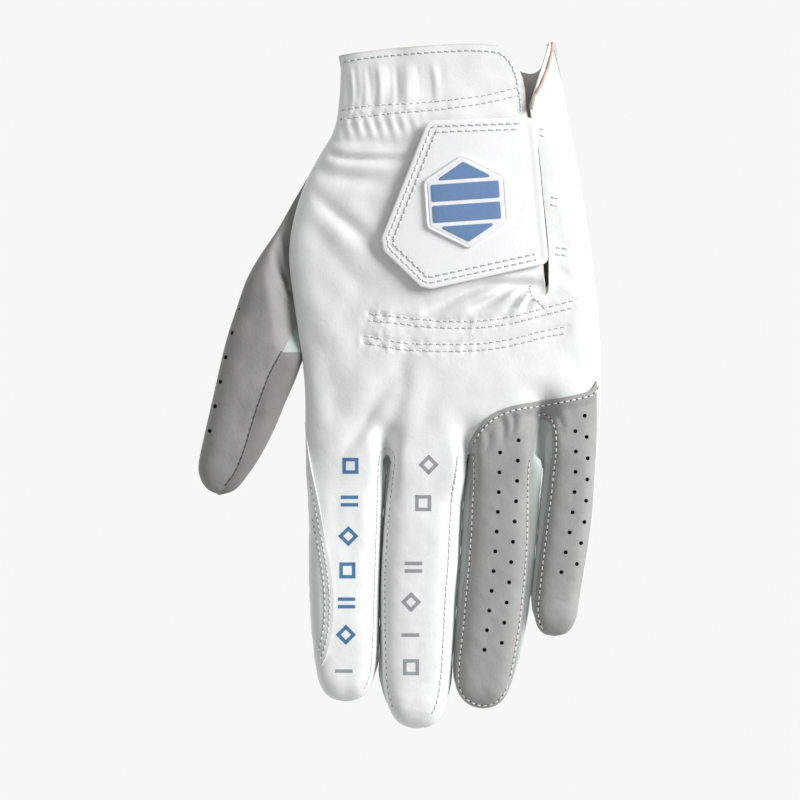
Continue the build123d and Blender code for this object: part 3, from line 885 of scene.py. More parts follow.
def buildPalm():
    u = 0.5 - 0.5 * np.cos(np.linspace(0, math.pi, palm["columns"]))
    ends = []
    for level, line in ((109, smoothCurve(palm["cuffEdge"], 60)), (-22, np.array(palm["fingerEdge"]))):
        across = radialAt(level) + (ulnarAt(level) - radialAt(level)) * u
        ends.append(np.interp(across, line[:, 0], line[:, 1]))
    t = np.linspace(0, 1, palm["rows"])[:, None]
    y = ends[0][None, :] * (1 - t) + ends[1][None, :] * t
    x = radialAt(y) + (ulnarAt(y) - radialAt(y)) * u[None, :]
    inside = np.clip(np.minimum(x - radialAt(y), ulnarAt(y) - x) / palm["edgeRadius"], 0, 1)
    z = restHeight + palm["edgeRise"] * (1 - np.sqrt(np.maximum(0, 1 - (1 - inside) ** 2)))
    away, along = distanceTo(x, y, smoothCurve(palm["lifeLine"], 20))
    z = z + 0.5 * np.exp(-(away / 1.6) ** 2) * np.sin(np.clip(along, 0, 1) * math.pi)
    away, along = distanceTo(x, y, palm["knuckleLine"])
    z = z + 0.4 * np.exp(-(away / 1.4) ** 2)
    z = z + palm["slitRise"] * np.exp(-((x - 42) / 8.0) ** 2) * smoothStep((y - 84) / 20)
    z = np.maximum(z + 0.16 * ripple(x, y, 16, 91) * smoothStep(inside * 3), 0.1)
    parts = [np.stack([x, y, z], axis=2)]
    edgeX, edgeY = ulnarAt(y[:, -1]), y[:, -1]
    for pull, tuck in palm["tucks"]:
        height = handTop(edgeX - max(pull, 0.9), edgeY, False) - tuck
        parts.append(np.column_stack([edgeX - pull, edgeY, height])[:, None, :])
    panel = shell("palmPanel", np.concatenate(parts, axis=1), palmLeather, palmLeather, palm["thickness"])
    finishPiece(panel, "hand", "palm_leather", "palm_panel")


buildPalm()


# the thumb
thumb = {
    "outer": [(-28.6, 71.5), (-29.8, 70.2), (-34.7, 61.7), (-40.6, 51.3), (-46.5, 42.6), (-50.6, 35.1),
              (-53.9, 25.6), (-57.6, 13.8), (-61.2, -1.7), (-64.2, -14.9), (-66.4, -25.6), (-65.8, -30.6),
              (-63.4, -34.2), (-59.4, -36.1)],
    "inner": [(-27.6, 71.5), (-28.6, 62), (-30.0, 50), (-30.2, 38), (-29.4, 26), (-29.8, 14), (-31.9, 8.6),
              (-34.7, 1.3), (-37.6, -5.3), (-41.3, -14.2), (-45.7, -22.8), (-50.2, -29.6), (-54.4, -34.4),
              (-59.4, -36.1)],
    "seam": [(-31.6, 24.0), (-34.4, 19.6), (-38.4, 11.2), (-42.1, 4.2), (-44.6, -2.4), (-47.2, -9.8),
             (-49.4, -17.2), (-51.3, -23), (-53.6, -28.2), (-56.0, -31.6), (-59.4, -35.9)],
    "top": 11.6,
    "edgeHeight": 5.6,
    "apex": (-59.4, -36.1),
    "tipLength": 10.0,
    "rows": 130,
    "gussetFrom": 25.0,       # the pale gusset lies between these heights, and the inner strip below it
    "gussetTo": 10.4,
    "stripFrom": 11.6,
    "thickness": 0.8,
    "bend": ((-30.0, 34.0, 8.0), (-50.0, 4.0, 8.0)),
}
thumbCreases = [
    ([(-41.0, 45.0), (-39.4, 39.0), (-37.4, 34.0), (-35.0, 29.0)], 1.1, 1.5, 1.8),
    ([(-38.9, 37.4), (-37.0, 34.6), (-34.6, 32.2)], 0.7, 0.9, 1.1),
    ([(-38.0, 33.6), (-36.4, 31.0), (-34.2, 28.8)], 0.7, 0.8, 1.1),
    ([(-40.0, 52.0), (-36.2, 46.0), (-35.2, 40.0)], 1.8, 0.6, 2.6),
]


def thumbSide(which, y):
    line = smoothCurve(thumb[which], 300)[::-1]
    return np.interp(y, line[:, 1], line[:, 0])


def thumbRoot(y):
    # the stall thins out where it runs under the hand at the wrist
    return smoothStep((73.5 - y) / 17.0)


def thumbTop(x, y):
    x, y = np.asarray(x, float), np.asarray(y, float)
    left, right = thumbSide("outer", y), thumbSide("inner", y)
    side = np.clip((2 * x - left - right) / np.maximum(right - left, 0.01), -1, 1)
    nearTip = np.clip((thumb["apex"][1] + thumb["tipLength"] - y) / thumb["tipLength"], 0, 1)
    drop = np.sqrt(np.maximum(0, 1 - nearTip ** 2.3))
    width = np.clip((right - left) / 22.0, 0, 1)
    crest = (thumb["top"] - thumb["edgeHeight"]) * (1 - np.abs(side) ** 2.9) ** 0.55 * (0.25
            + 0.75 * width) * drop
    top = thumb["edgeHeight"] + crest
    underHand = smoothStep((x - radialAt(y) + 9.0) / 10.0) * smoothStep((y - 6.0) / 14.0)
    top = top - np.maximum(top - 5.2, 0) * underHand
    for line, width, depth, lip in thumbCreases:
        away, along = distanceTo(x, y, smoothCurve(line, 12))
        fade = np.sin(np.clip(along, 0.02, 0.98) * math.pi) ** 0.5
        top = top - depth * fade * np.exp(-(away / width) ** 2) + 0.5 * depth * fade * np.exp(-((away
                - 1.5 * width) / lip) ** 2)
    top = top + (0.28 * ripple(x, y, 20, 21) + 0.07 * ripple(x, y, 5.5, 22)) * drop
    return 1.4 + (top - 1.4) * thumbRoot(y)


def bendThumb(piece, slotName, *nodes):
    if nodes:
        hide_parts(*nodes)
    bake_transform(piece)


def thumbSeamX(y):
    line = smoothCurve(thumb["seam"], 200)[::-1]
    return np.interp(y, line[:, 1], line[:, 0])


def buildThumb():
    root, apex = 71.0, thumb["apex"][1]
    y = root + (apex - root) * np.sin(np.linspace(0, 1, thumb["rows"]) * math.pi / 2) ** 0.95
    outer = np.column_stack([thumbSide("outer", y), y])
    inner = np.column_stack([thumbSide("inner", y), y])
    seam = np.column_stack([np.where(y > 24.0, inner[:, 0], np.minimum(thumbSeamX(y), inner[:, 0])), y])
    outer[-1] = inner[-1] = seam[-1] = thumb["apex"]
    flat = between(outer, seam, 44, "left")
    front = shell("thumbFront", layOn(flat, thumbTop), thumbLeather, greyFlesh, thumb["thickness"], flip=True)
    punch(front, [tuple(p) for p in perforations["thumb"][0]], perforations["radius"], thumbTop)
    bendThumb(front, "thumb_leather", "thumb_front")

    # the plain strip between the seam and the hand, in grey leather darkened with painted shade, and the pale
    # gusset above it
    def patch(name, keep, material, inside, slotName, node, sink):
        rows = y[keep]
        a = np.column_stack([thumbSeamX(rows) - 0.7, rows])
        b = inner[keep].copy()
        a[:, 0] = np.minimum(a[:, 0], b[:, 0])
        if rows[-1] <= apex + 0.01:
            a[-1] = b[-1]
        area = between(a, b, 22, "right")
        piece = shell(name, layOn(area, lambda px, py: thumbTop(px, py) - sink), material, inside, 0.7,
                      flip=True)
        bendThumb(piece, slotName, node)

    patch("thumbSide", y <= thumb["stripFrom"], paintedShadeStripLeather, greyFlesh, "thumb_leather", "thumb_side", 0.35)
    gusset = (y <= thumb["gussetFrom"]) & (y >= thumb["gussetTo"])
    # the gusset's darker colour is painted shade
    patch("thumbGusset", gusset, paintedDeepShadeWebLeather, paleFlesh, "palm_leather", "thumb_gusset", 0.62)

    # the palm side of the thumb, round its outer edge
    flat = between(outer, inner, 60, "both")
    side = -np.cos(np.linspace(0, math.pi, 60))[None, :] + 0 * flat[..., 0]
    nearTip = np.clip((apex + 9.0 - flat[..., 1]) / 9.0, 0, 1)
    turnedUp = 1 - np.sqrt(np.maximum(0, 1 - np.abs(side) ** 5)) * np.sqrt(np.maximum(0, 1 - nearTip ** 2))
    low = restHeight + ((thumb["edgeHeight"] - 1.4) * thumbRoot(flat[..., 1]) + 0.5) * turnedUp
    low = np.maximum(low + 0.1 * ripple(flat[..., 0], flat[..., 1], 12, 93), 0.1)
    underside = shell("thumbPalm", lay(flat, low), palmLeather, paleFlesh, thumb["thickness"])
    bendThumb(underside, "palm_leather", "thumb_palm")


buildThumb()
print("palm and thumb are sewn")


# the strip of palm leather that wraps over the index finger
sideStrip = {
    "seam": [(-31.2, -11.8), (-30.4, -19.0), (-29.2, -26.5), (-26.9, -37.0), (-24.8, -47.6), (-22.8, -58.3),
             (-21.7, -67.6), (-21.6, -74.8), (-22.3, -81.9), (-24.0, -88.8), (-26.8, -94.4)],
    "lift": 0.95,
    "rows": 110,
    "thickness": 0.75,
}


def indexOutline(y):
    return np.where(y > fingers["index"]["root"], radialAt(y), sideOf("index", "left", y))


def buildSideStrip():
    seam = smoothCurve(sideStrip["seam"], sideStrip["rows"])
    outer = np.column_stack([indexOutline(seam[:, 1]), seam[:, 1]])
    outer[:, 0] = np.minimum(outer[:, 0], seam[:, 0] - 0.05)
    flat = between(outer, seam, 20, "left")
    x, y = flat[..., 0], flat[..., 1]
    base = fingerSurface("index", x, y)
    away = np.linalg.norm(flat - seam[:, None, :], axis=2)
    t = np.linspace(0, 1, sideStrip["rows"])[:, None]
    fade = smoothStep(t * 6) * smoothStep((1 - t) * 8)
    height = base + sideStrip["lift"] * (0.25 + 0.75 * fade) - 0.12 * np.exp(-((away - 3.2) / 0.9) ** 2)
    strip = shell("indexSideStrip", lay(flat, height), palmLeather, paleFlesh, sideStrip["thickness"],
                  flip=True)
    bendWith(strip, "index", "palm_leather", "index_side")


buildSideStrip()


# plates with rounded edges: patches, tab and badge
def roundedOutline(corners, radius, step=0.9):
    # a closed outline whose corners are arcs
    points = []
    corners = [np.array(c, float) for c in corners]
    for before, corner, after in zip(corners[-1:] + corners[:-1], corners, corners[1:] + corners[:1]):
        a, b = before - corner, after - corner
        a, b = a / np.linalg.norm(a), b / np.linalg.norm(b)
        half = math.acos(float(np.clip(a @ b, -1, 1))) / 2
        reach = radius / math.tan(half)
        centre = corner + (a + b) / np.linalg.norm(a + b) * radius / math.sin(half)
        start, end = corner + a * reach - centre, corner + b * reach - centre
        first, last = math.atan2(start[1], start[0]), math.atan2(end[1], end[0])
        turn = (last - first + math.pi) % (2 * math.pi) - math.pi
        for t in np.linspace(0, 1, 9):
            points.append(centre + radius * np.array([math.cos(first + turn * t), math.sin(first + turn * t)]))
    loop = np.array(points + points[:1])
    count = int(curveLength(loop) / step)
    return evenly(loop, np.linspace(0, 1, count, endpoint=False))


def inward(outline, distance):
    step = np.roll(outline, -1, axis=0) - np.roll(outline, 1, axis=0)
    step /= np.linalg.norm(step, axis=1, keepdims=True)
    area = 0.5 * np.sum(outline[:, 0] * np.roll(outline[:, 1], -1) - np.roll(outline[:, 0], -1) * outline[:, 1])
    normal = np.stack([-step[:, 1], step[:, 0]], axis=1) * (1 if area > 0 else -1)
    return outline + normal * distance


plateCrease = 60      # degrees, so that rolled rims stay soft


def plate(name, outline, topAt, thickness, bevel, materials, rings=12, under=None):
    # topAt gives the height of the upper face; its rim is rounded over and the sides go straight down
    middle = outline.mean(axis=0)
    layers = []
    for t in np.linspace(0, 1, 5):
        ring = inward(outline, bevel * (1 - math.cos(t * math.pi / 2)))
        z = topAt(ring[:, 0], ring[:, 1]) - bevel * (1 - math.sin(t * math.pi / 2))
        layers.append(np.column_stack([ring, z]))
    inner = inward(outline, bevel)
    for k in np.linspace(1, 0, rings + 1)[1:]:
        ring = middle + (inner - middle) * max(k, 0.002)
        layers.append(np.column_stack([ring, topAt(ring[:, 0], ring[:, 1])]))
    bottomAt = under or (lambda px, py: topAt(px, py) - thickness)
    lower = []
    for k in np.linspace(0, 1, rings + 1):
        ring = middle + (outline - middle) * max(k, 0.002)
        lower.append(np.column_stack([ring, bottomAt(ring[:, 0], ring[:, 1])]))
    grid = np.array(layers[::-1] + lower[::-1])
    rows, count = grid.shape[:2]
    faces, kinds = [], []
    for i in range(rows - 1):
        for j in range(count):
            k = (j + 1) % count
            faces.append((i * count + j, i * count + k, (i + 1) * count + k, (i + 1) * count + j))
            kinds.append(0 if i < len(layers) or len(materials) == 1 else 1)
    faces.append(tuple(range(count)))
    kinds.append(0)
    faces.append(tuple((rows - 1) * count + j for j in range(count)))
    kinds.append(len(materials) - 1)
    return makeMesh(name, grid.reshape(-1, 3), faces, materials, kinds, sharp=plateCrease)


tab = {
    "corners": [(9.4, 87.2), (44.7, 88.5), (49.3, 40.4), (10.4, 31.8), (7.0, 32.6), (-5.2, 44.4), (-5.9, 48.6)],
    "corner": 2.6,
    "thickness": 1.25,
    "above": 1.9,
    "rim": 0.45,
    "stitchInsets": (2.0, 3.9),
    "patchCorner": 2.5,
    "patch": [(38.0, 83.5), (12.0, 82.6), (-0.5, 47.4), (11.6, 36.6), (41.5, 43.4)],
}


def tabUnder(x, y):
    x, y = np.asarray(x, float), np.asarray(y, float)
    toHinge = np.clip((46.8 - x) / 52, 0, 1)
    return handTop(x, y, False) + tab["above"] + 0.35 * np.sin(toHinge * math.pi) + 0.10 * ripple(x, y, 30, 8)


def tabTop(x, y):
    return tabUnder(x, y) + tab["thickness"]


def onTab(piece, slotName, *nodes):
    finishPiece(piece, "closure_tab", slotName, *nodes)


def buildTab():
    outline = roundedOutline(tab["corners"], tab["corner"])
    closed = np.vstack([outline, outline[:1]])

    def rolled(x, y):
        away = distanceTo(x, y, closed)[0]
        return tabTop(x, y) + 0.10 * np.exp(-((away - 1.0) / 0.9) ** 2) - 0.16 * np.exp(-((away - 2.9)
                / 1.1) ** 2)

    leatherPlate = plate("litTabLeather", outline, rolled, tab["thickness"], tab["rim"],
                         [litTabLeather, whiteLeather], rings=34)
    onTab(leatherPlate, "back_leather", "tab_leather")
    patch = roundedOutline(tab["patch"], tab["patchCorner"])
    loop = plate("loopPatch", patch, lambda x, y: handTop(x, y, False) + 0.75, 0.9, 0.3, [loopPile])
    finishPiece(loop, "hand", "loop_fabric", "loop_patch")
    onTab(plate("hookPatch", inward(patch, 0.2), lambda x, y: tabUnder(x, y) + 0.1, 0.95, 0.2, [hookTape]),
          "hook_tape", "hook_patch")
    return rolled


tabSurface = buildTab()

badge = {
    "centre": (22.0, 60.5),
    "width": 27.0,
    "length": 31.0,
    "turn": 4.0,
    "border": 2.3,
    "height": 1.1,
    "corner": 2.4,
    "grooveInset": 0.95,
    "grooveDepth": 0.28,
    "grooveWidth": 0.22,
    "gap": 1.3,
    "bars": 4,
    "barRise": 0.22,
}


def badgePlace(points):
    a = math.radians(badge["turn"])
    turned = np.array(points, float) @ np.array([[math.cos(a), math.sin(a)], [-math.sin(a), math.cos(a)]])
    return turned + np.array(badge["centre"])


def badgeHexagon(inset):
    w, h = badge["width"] / 2 - inset, badge["length"] / 2 - inset
    return [(0, h), (w, h * 0.5), (w, -h * 0.5), (0, -h), (-w, -h * 0.5), (-w, h * 0.5)]


def cutBand(corners, low, high):
    for sign, limit in ((1, low), (-1, -high)):
        kept = []
        for a, b in zip(corners, corners[1:] + corners[:1]):
            da, db = sign * a[1] - limit, sign * b[1] - limit
            if da >= 0:
                kept.append(a)
            if da * db < 0:
                t = da / (da - db)
                kept.append((a[0] + (b[0] - a[0]) * t, a[1] + (b[1] - a[1]) * t))
        corners = kept
    return corners


def joinPieces(name, pieces):
    for other in pieces[1:]:
        other.select_set(True)
    with bpy.context.temp_override(active_object=pieces[0], selected_editable_objects=pieces,
                                   selected_objects=pieces):
        bpy.ops.object.join()
    pieces[0].name = name
    return pieces[0]


def buildBadge():
    base = roundedOutline(badgePlace(badgeHexagon(0)), badge["corner"], 0.6)
    groove = badgePlace(badgeHexagon(badge["grooveInset"]))
    groove = np.vstack([groove, groove[:1]])

    def face(x, y):
        cut = np.exp(-(distanceTo(x, y, groove)[0] / badge["grooveWidth"]) ** 2)
        return tabTop(x, y) + badge["height"] - badge["grooveDepth"] * cut

    moulding = plate("badgeBase", base, face, badge["height"] + 0.2, 0.35, [badgeWhite], rings=40)
    onTab(moulding, "badge_white", "badge_base")
    inner = badgeHexagon(badge["border"])
    low, high = inner[3][1], inner[0][1]
    pitch = (high - low + badge["gap"]) / badge["bars"]
    bars = []
    for k in range(badge["bars"]):
        bottom = low + k * pitch
        band = cutBand(inner, bottom, bottom + pitch - badge["gap"])
        outline = roundedOutline(badgePlace(band), 0.45, 0.5)
        top = lambda x, y: tabTop(x, y) + badge["height"] + badge["barRise"]
        bars.append(plate("bar", outline, top, 0.6, 0.14, [badgeBlue], rings=6))
    onTab(joinPieces("badgeInlay", bars), "badge_blue", "badge_inlay")


buildBadge()
print("closure tab and badge are fitted")


# hems, bindings, elastics and gussets
def strip(name, first, second, heightAt, outer, inner, thickness, columns=8, flip=True):
    flat = between(np.asarray(first), np.asarray(second), columns)
    return shell(name, layOn(flat, heightAt), outer, inner, thickness, flip=flip)


inside = {
    "hemWidth": 4.4,
    "hemThickness": 0.6,
    "palmHem": [(-18.0, 109.0), (0.3, 110.9), (20.4, 111.7), (29, 110.6), (34.5, 107.4)],
    "flapTurn": [(49.6, 113.6), (47.6, 107.2), (45.4, 100.2), (43.8, 94.6), (43.3, 91.4)],
    "flapTurnRise": 2.9,
    "bindingEnd": [(47.0, 29.4), (50.6, 29.4)],
    "slitEnd": [(48.1, 32.2), (48.9, 32.2)],
    "elasticPitch": 1.6,
}
# each elastic: its upper and lower edge, and how deep it lies under the outside
elastics = {
    "knuckle": ([(-9.5, 24.2), (12, 22.4), (25, 22.4), (37, 23.6), (56, 28.4)],
                [(-11.4, 11.6), (12, 10.6), (25, 10.8), (37, 12.2), (55, 16.6)], 1.3),
    "wrist": ([(-16, 104.6), (0, 105.6), (16, 106.4)], [(-16, 92.4), (0, 93.4), (16, 94.4)], 1.5),
    "tab": ([(37.5, 86.0), (46, 86.2), (53.5, 86.0)], [(41.0, 42.5), (50, 42.6), (58.5, 42.5)], 2.2),
}
# each crotch gusset: its arch, how far it leans in, how low it reaches and how far it runs out
crotchGussets = {
    ("index", "middle"): ([(-5.3, -25.4), (-5.1, -23.6), (-4.0, -22.4), (-2.9, -23.6), (-2.7, -25.8)], 0.3,
                          1.5, 4.0),
    ("middle", "ring"): ([(22.3, -26.4), (22.35, -24.4), (22.8, -22.6), (23.2, -22.4), (23.4, -23.6)], 0.3,
                         2.2, 6.0),
    ("ring", "little"): ([(44.6, -22.8), (45.2, -17.0), *insert["crotch"], (50.4, -14.0)], 1.6, 6.0, 15.0),
}


def buildHems():
    width, thickness = inside["hemWidth"], inside["hemThickness"]
    cuff = smoothCurve(hand["cuffEdge"], 90)
    hem = strip("cuffHemRadial", cuff + sideways(cuff) * 0.5, cuff - sideways(cuff) * width,
                lambda x, y: handTop(x, y) - 1.05, fleshSide, paleFlesh, thickness)
    finishPiece(hem, "hand", "hem_leather", "cuff_hem_radial")

    # the flap's turned edge, which shows its flesh side beside the slit
    edge = smoothCurve(inside["flapTurn"], 46)
    t = np.linspace(0, 1, 46)
    reach = 1.9 * np.sin(np.clip(t * 1.15 + 0.08, 0, 1) * math.pi) ** 0.6
    grid = between(edge, edge + np.stack([reach + 0.3, 0.15 * reach], axis=1), 10)
    rise = handTop(grid[..., 0], grid[..., 1]) + 0.4 + inside["flapTurnRise"] * np.linspace(0, 1, 10)[None,
            :] ** 1.5
    rise = rise + 0.25 * ripple(grid[..., 0], grid[..., 1], 6, 12)
    flap = shell("cuffHemUlnar", lay(grid, rise), fleshSide, whiteLeather, 0.7, flip=True)
    finishPiece(flap, "hand", "hem_leather", "cuff_hem_ulnar")

    edge = smoothCurve(inside["palmHem"], 80)
    hem = strip("cuffHemPalm", edge + sideways(edge) * 0.3, edge - sideways(edge) * width,
                lambda x, y: 0 * x + 2.1 + 5.0 * np.maximum(0, 1 - (x - radialAt(y)) / 5.0) ** 2, fleshSide,
                paleFlesh, thickness)
    finishPiece(hem, "hand", "hem_leather", "cuff_hem_palm")

    slit = smoothCurve(hand["slitEdge"][3:], 90)
    flapLine = smoothCurve(hand["flapEdge"][3:], 90)

    def roundSlit(outLeft, bottom, outRight):
        route = np.vstack([slit + np.array([outLeft, 0]), bottom, (flapLine + np.array([outRight, 0]))[::-1]])
        return smoothCurve(route[::3], 150)

    inner, outer = roundSlit(0.25, inside["slitEnd"], -0.2), roundSlit(-2.6, inside["bindingEnd"], 2.4)
    binding = strip("slitBinding", inner, outer, lambda x, y: handTop(x, y) - 1.1, paleFlesh, fleshSide, 0.5, 5)
    finishPiece(binding, "hand", "back_leather", "slit_binding")


def buildElastics():
    for name, (upper, lower, sink) in elastics.items():
        weave = lambda x, y: handTop(x, y, False) - sink + 0.12 * np.sin(x * 2 * math.pi
                / inside["elasticPitch"])
        band = strip(name + "Elastic", smoothCurve(upper, 90), smoothCurve(lower, 90), weave, elasticWeave,
                     elasticWeave, 0.5, 26)
        finishPiece(band, "hand", "elastic", name + "_elastic")


def buildCrotchGussets():
    # small arched pieces that close the crotches between the fingers, in leather coloured with painted shade
    for (first, second), (arch, lean, lowest, run) in crotchGussets.items():
        line = smoothCurve(arch, 44)
        middle = np.array([np.mean(line[:, 0]), line[:, 1].min() - 0.5])
        toward = middle - line
        toward /= np.linalg.norm(toward, axis=1, keepdims=True)
        t = np.linspace(0, 1, 12)[None, :, None]
        outline = line - toward * 0.8
        grid = outline[:, None, :] + toward[:, None, :] * (0.6 + lean) * t
        grid[..., 1] -= run * t[..., 0] ** 1.6
        topZ = handTop(line[:, 0], line[:, 1]) - 0.5
        z = topZ[:, None] * (1 - t[..., 0] ** 1.4) + lowest * t[..., 0] ** 1.4
        piece = shell(first + second.capitalize() + "Gusset", lay(grid, z), paintedShadeGussetLeather, paleFlesh, 0.5)
        finishPiece(piece, "hand", "fourchette_leather", first + "_" + second + "_gusset")


buildHems()
buildElastics()
buildCrotchGussets()
print("hems, elastics and gussets are in")


# stitching
stitches = {
    "rise": 0.10,
    "wander": 0.06,           # how far a stitch strays from its line
    "thickness": 0.36,        # of its width
    "holeShadeSize": (0.42, 0.30, 0.12),
    "rings": 6,
    "around": 8,
    "slitCorner": [(43.2, 33.0), (43.4, 30.8), (44.6, 28.8), (46.6, 27.2), (48.6, 25.0)],
    "flapSide": [(45.2, 92.6), (46.8, 98.0), (49.2, 105.0), (51.2, 111.0)],
    "flapPairs": [[(46.9, 84.8), (47.6, 84.7)], [(47.1, 82.6), (47.8, 82.5)], [(50.5, 62.2), (52.6, 61.9)],
                  [(50.3, 59.8), (52.4, 59.5)], [(52.0, 45.6), (56.2, 45.2)], [(51.8, 43.4), (56.0, 43.0)]],
    "ringTip": [(20.1, -99.7), (21.6, -102.6), (24.6, -104.8), (28.0, -105.6), (31.6, -104.6), (34.2, -102.2),
                (36.0, -98.6)],
    "greyCrotches": [[(24.4, -22.0), (24.6, -20.0), (23.8, -18.6)],
                     [(51.5, -14.0), (50.6, -11.4), (48.9, -9.6), (47.2, -9.2), (45.6, -9.9)]],
    "whiteCrotch": [(-6.7, -25.2), (-6.2, -22.4), (-4.8, -20.7), (-3.2, -20.7), (-1.9, -22.2), (-1.2, -25.0)],
}


def stitchMesh(name, runs, thread, hole, pitch, length, width):
    # short raised threads, with a dark blob of painted shade at the needle hole where each one goes in
    rings, around = stitches["rings"], stitches["around"]
    t = np.linspace(0, math.pi, rings)
    a = np.linspace(0, 2 * math.pi, around, endpoint=False)
    unit = np.stack([np.repeat(-np.cos(t), around), np.tile(np.cos(a), rings)
                     * np.repeat(np.sin(t) ** 0.6, around),
                     np.tile(np.sin(a), rings) * np.repeat(np.sin(t) ** 0.6, around)], axis=1)
    unitFaces = [(i * around + j, i * around + (j + 1) % around, (i + 1) * around + (j + 1) % around,
                  (i + 1) * around + j)
                 for i in range(rings - 1) for j in range(around)]
    points, faces, kinds = [], [], []

    def add(centre, along, up, size, kind):
        across = np.cross(up, along)
        start = len(points) * unit.shape[0]
        points.append(centre + unit[:, :1] * along * size[0] + unit[:, 1:2] * across * size[1]
                      + unit[:, 2:3] * up * size[2])
        faces.extend(tuple(start + v for v in face) for face in unitFaces)
        kinds.extend([kind] * len(unitFaces))

    for line, heightAt in runs:
        line = np.array(line, float)
        count = max(2, int(round(curveLength(line) / pitch)))
        flat = smoothCurve(line, count * 4 + 1)
        side = sideways(flat)
        route = np.column_stack([flat, heightAt(flat[:, 0], flat[:, 1])])
        near, far = flat + side * 0.3, flat - side * 0.3
        tilt = (heightAt(near[:, 0], near[:, 1]) - heightAt(far[:, 0], far[:, 1])) / 0.6
        for k in range(count):
            along = route[4 * k + 4] - route[4 * k]
            along = along / np.linalg.norm(along)
            across = np.array([*side[4 * k + 2], tilt[4 * k + 2]])
            across /= np.linalg.norm(across)
            up = np.cross(along, across)
            up /= np.linalg.norm(up)
            stray = across * dice.uniform(-stitches["wander"], stitches["wander"])
            size = (length / 2, width / 2, width * stitches["thickness"])
            add(route[4 * k + 2] + up * stitches["rise"] + stray, along, up, size, 0)
            add(route[4 * k], along, up, stitches["holeShadeSize"], 1)
    return makeMesh(name, np.vstack(points), faces, [thread, hole], kinds, sharp=80)


def rowsOnHand(name, lines, thread=threadPaintedShade, hole=paintedHoleShade, pitch=2.2, length=1.25, width=0.60,
               heightAt=handTop, body="hand", slotName="back_leather"):
    piece = stitchMesh(name, [(line, heightAt) for line in lines], thread, hole, pitch, length, width)
    finishPiece(piece, body, slotName)


cuffLine = smoothCurve(hand["cuffEdge"] + hand["slitEdge"][1:6], 60)
hemRow = cuffLine - sideways(cuffLine) * 1.9
rowsOnHand("cuffHemStitches", [hemRow[1:], smoothCurve(stitches["flapSide"], 12)])
rowsOnHand("elasticStitches", [line for line, _, _ in drawnRows])
rowsOnHand("slitStitches", [smoothCurve(stitches["slitCorner"], 12), *stitches["flapPairs"]], pitch=1.9,
           length=1.1)


def insertSurface(x, y):
    return handTop(x, y) + insert["lift"]


insertLine = smoothCurve(hand["insertEdge"][1:], 60)
rowsOnHand("insertStitches", [insertLine - sideways(insertLine) * 1.5], threadWhite, paintedHoleShadeGrey,
           pitch=2.0, length=1.5, width=0.5, heightAt=insertSurface, slotName="insert_leather")


def tabRow(inset):
    # along three sides of the tab, from its hinge end round to its hinge end
    outline = inward(roundedOutline(tab["corners"], tab["corner"]), inset)
    away, _ = distanceTo(outline[:, 0], outline[:, 1], tab["corners"][1:3])      # the hinge end
    kept = away > 3.0 + 0.4 * inset
    first = int(np.argmax(~np.roll(kept, 1) & kept))
    rolled = np.roll(outline, -first, axis=0)
    return rolled[:int(kept.sum())]


rowsOnHand("tabStitches", [tabRow(inset) for inset in tab["stitchInsets"]], pitch=2.5, length=1.45,
           heightAt=tabSurface, body="closure_tab")


def alongStall(name, which, inset, fromY, toY, count=60):
    y = np.linspace(fromY, toY, count)
    edge = np.column_stack([sideOf(name, which, y), y])
    return edge + sideways(edge) * inset * (1 if which == "left" else -1)


def stitchStall(name, title, lines, thread, hole, pitch, length, width, lift=0.0, slotName="back_leather"):
    surface = lambda x, y: fingerSurface(name, x, y) + lift
    sewn = stitchMesh(title, [(line, surface) for line in lines], thread, hole, pitch, length, width)
    bendWith(sewn, name, slotName)


white = dict(thread=threadPaintedShade, hole=paintedHoleShade, pitch=2.1, length=1.2, width=0.55)
grey = dict(thread=threadWhite, hole=paintedHoleShadeGrey, pitch=1.95, length=1.4, width=0.46,
            slotName="perforated_leather")
stitchStall("index", "indexStitches", [alongStall("index", "right", 1.5, -26, -101)], **white)
middleRows = [alongStall("middle", "left", 1.3, -26, -108), alongStall("middle", "right", 3.2, -24, -110)]
stitchStall("middle", "middleStitches", middleRows, **white)
ringRows = [alongStall("ring", "left", 1.2, -23, -98.6), stitches["ringTip"],
            alongStall("ring", "right", 1.2, -25, -97.6)]
stitchStall("ring", "ringStitches", ringRows, **grey)
stitchStall("little", "littleStitches", [alongStall("little", "left", 1.2, -14.4, -81)], **grey)
rowsOnHand("crotchStitchesGrey", stitches["greyCrotches"], threadWhite, paintedHoleShadeGrey,
           pitch=1.7, length=1.4, width=0.5, slotName="insert_leather")
rowsOnHand("crotchStitchesWhite", [stitches["whiteCrotch"]], pitch=1.7, length=0.95, width=0.5)

stripSeam = smoothCurve(sideStrip["seam"][2:], 60)
stripSurface = lambda x, y: stallTop("index", x, y) + sideStrip["lift"] - 0.08
stripRows = [stripSeam + sideways(stripSeam) * -inset for inset in (1.4, 3.0)]
stripRows = [row[row[:, 0] > indexOutline(row[:, 1]) + 1.0] for row in stripRows]
sewn = stitchMesh("sideStripStitches", [(row, stripSurface) for row in stripRows], threadPaintedShade, paintedHoleShade,
                  2.0, 1.1, 0.55)
bendWith(sewn, "index", "palm_leather")
thumbSeam = smoothCurve(thumb["seam"][2:], 60)[:-4] + np.array([-0.5, 0])
sewn = stitchMesh("thumbSeamStitches", [(thumbSeam, thumbTop)], threadDark, paintedHoleShadeGrey, 2.0, 1.45, 0.55)
bendThumb(sewn, "thumb_leather")
print("stitching is done")


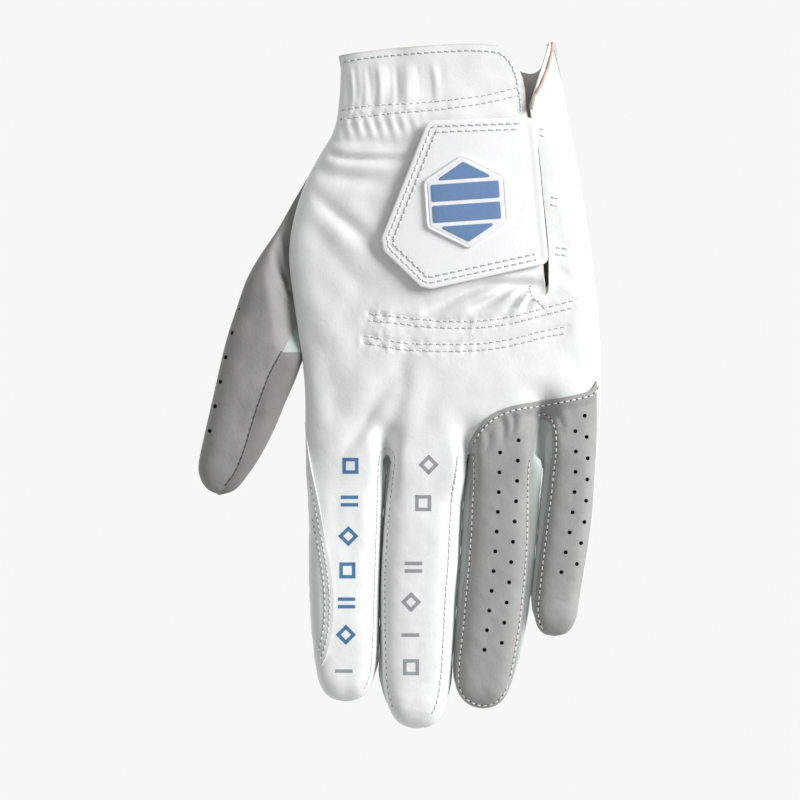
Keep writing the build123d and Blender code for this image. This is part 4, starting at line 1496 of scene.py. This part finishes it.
# printed marks: plain shapes down the index and middle fingers
marks = {
    "stroke": 1.15,
    "size": 4.6,
    "lift": 0.05,
    "thickness": 0.10,
    "blueCount": 6,           # of the index finger's marks, from the root
    "index": [(-16.0, -26.3), (-16.3, -37.9), (-16.7, -49.5), (-17.0, -60.8), (-17.3, -71.5), (-17.5, -82.0),
              (-18.2, -94.0)],
    "middle": [(9.8, -25.9), (8.0, -38.6), (4.8, -59.7), (4.0, -71.2), (3.8, -82.1), (4.0, -92.7)],
}


def closedLoop(corners):
    return list(zip(corners, corners[1:] + corners[:1]))


markShapes = {      # the strokes of each mark, in parts of its size
    "bars": [((-0.5, 0.27), (0.5, 0.27)), ((-0.5, -0.27), (0.5, -0.27))],
    "diamond": closedLoop([(0, 0.55), (0.55, 0), (0, -0.55), (-0.55, 0)]),
    "square": closedLoop([(-0.45, 0.45), (0.45, 0.45), (0.45, -0.45), (-0.45, -0.45)]),
    "dash": [((-0.5, 0.0), (0.5, 0.0))],
}
markOrder = ["square", "bars", "diamond", "square", "bars", "diamond", "dash"]


def markBar(name, start, end, surface, material):
    a, b = np.array(start, float), np.array(end, float)
    along = (b - a) / np.linalg.norm(b - a)
    a, b = a - along * marks["stroke"] / 2, b + along * marks["stroke"] / 2
    side = np.array([-along[1], along[0]]) * marks["stroke"] / 2
    line = a + (b - a) * np.linspace(0, 1, 12)[:, None]
    grid = between(line + side, line - side, 5)
    height = surface(grid[..., 0], grid[..., 1]) + marks["lift"]
    return shell(name, lay(grid, height), material, material, marks["thickness"])


def printMarks(name, shift):
    surface = lambda x, y: fingerSurface(name, x, y)
    for kind, material in (("Blue", printBlue), ("Grey", printGrey)):
        bars = []
        for k, centre in enumerate(marks[name]):
            isBlue = name == "index" and k < marks["blueCount"]
            if isBlue != (kind == "Blue"):
                continue
            for start, end in markShapes[markOrder[(k + shift) % len(markOrder)]]:
                place = lambda p: (centre[0] + p[0] * marks["size"], centre[1] + p[1] * marks["size"])
                bars.append(markBar("mark", place(start), place(end), surface, material))
        if bars:
            bendWith(joinPieces(name + "Marks" + kind, bars), name, "back_leather")


printMarks("index", 0)
printMarks("middle", 2)
print("marks are printed")
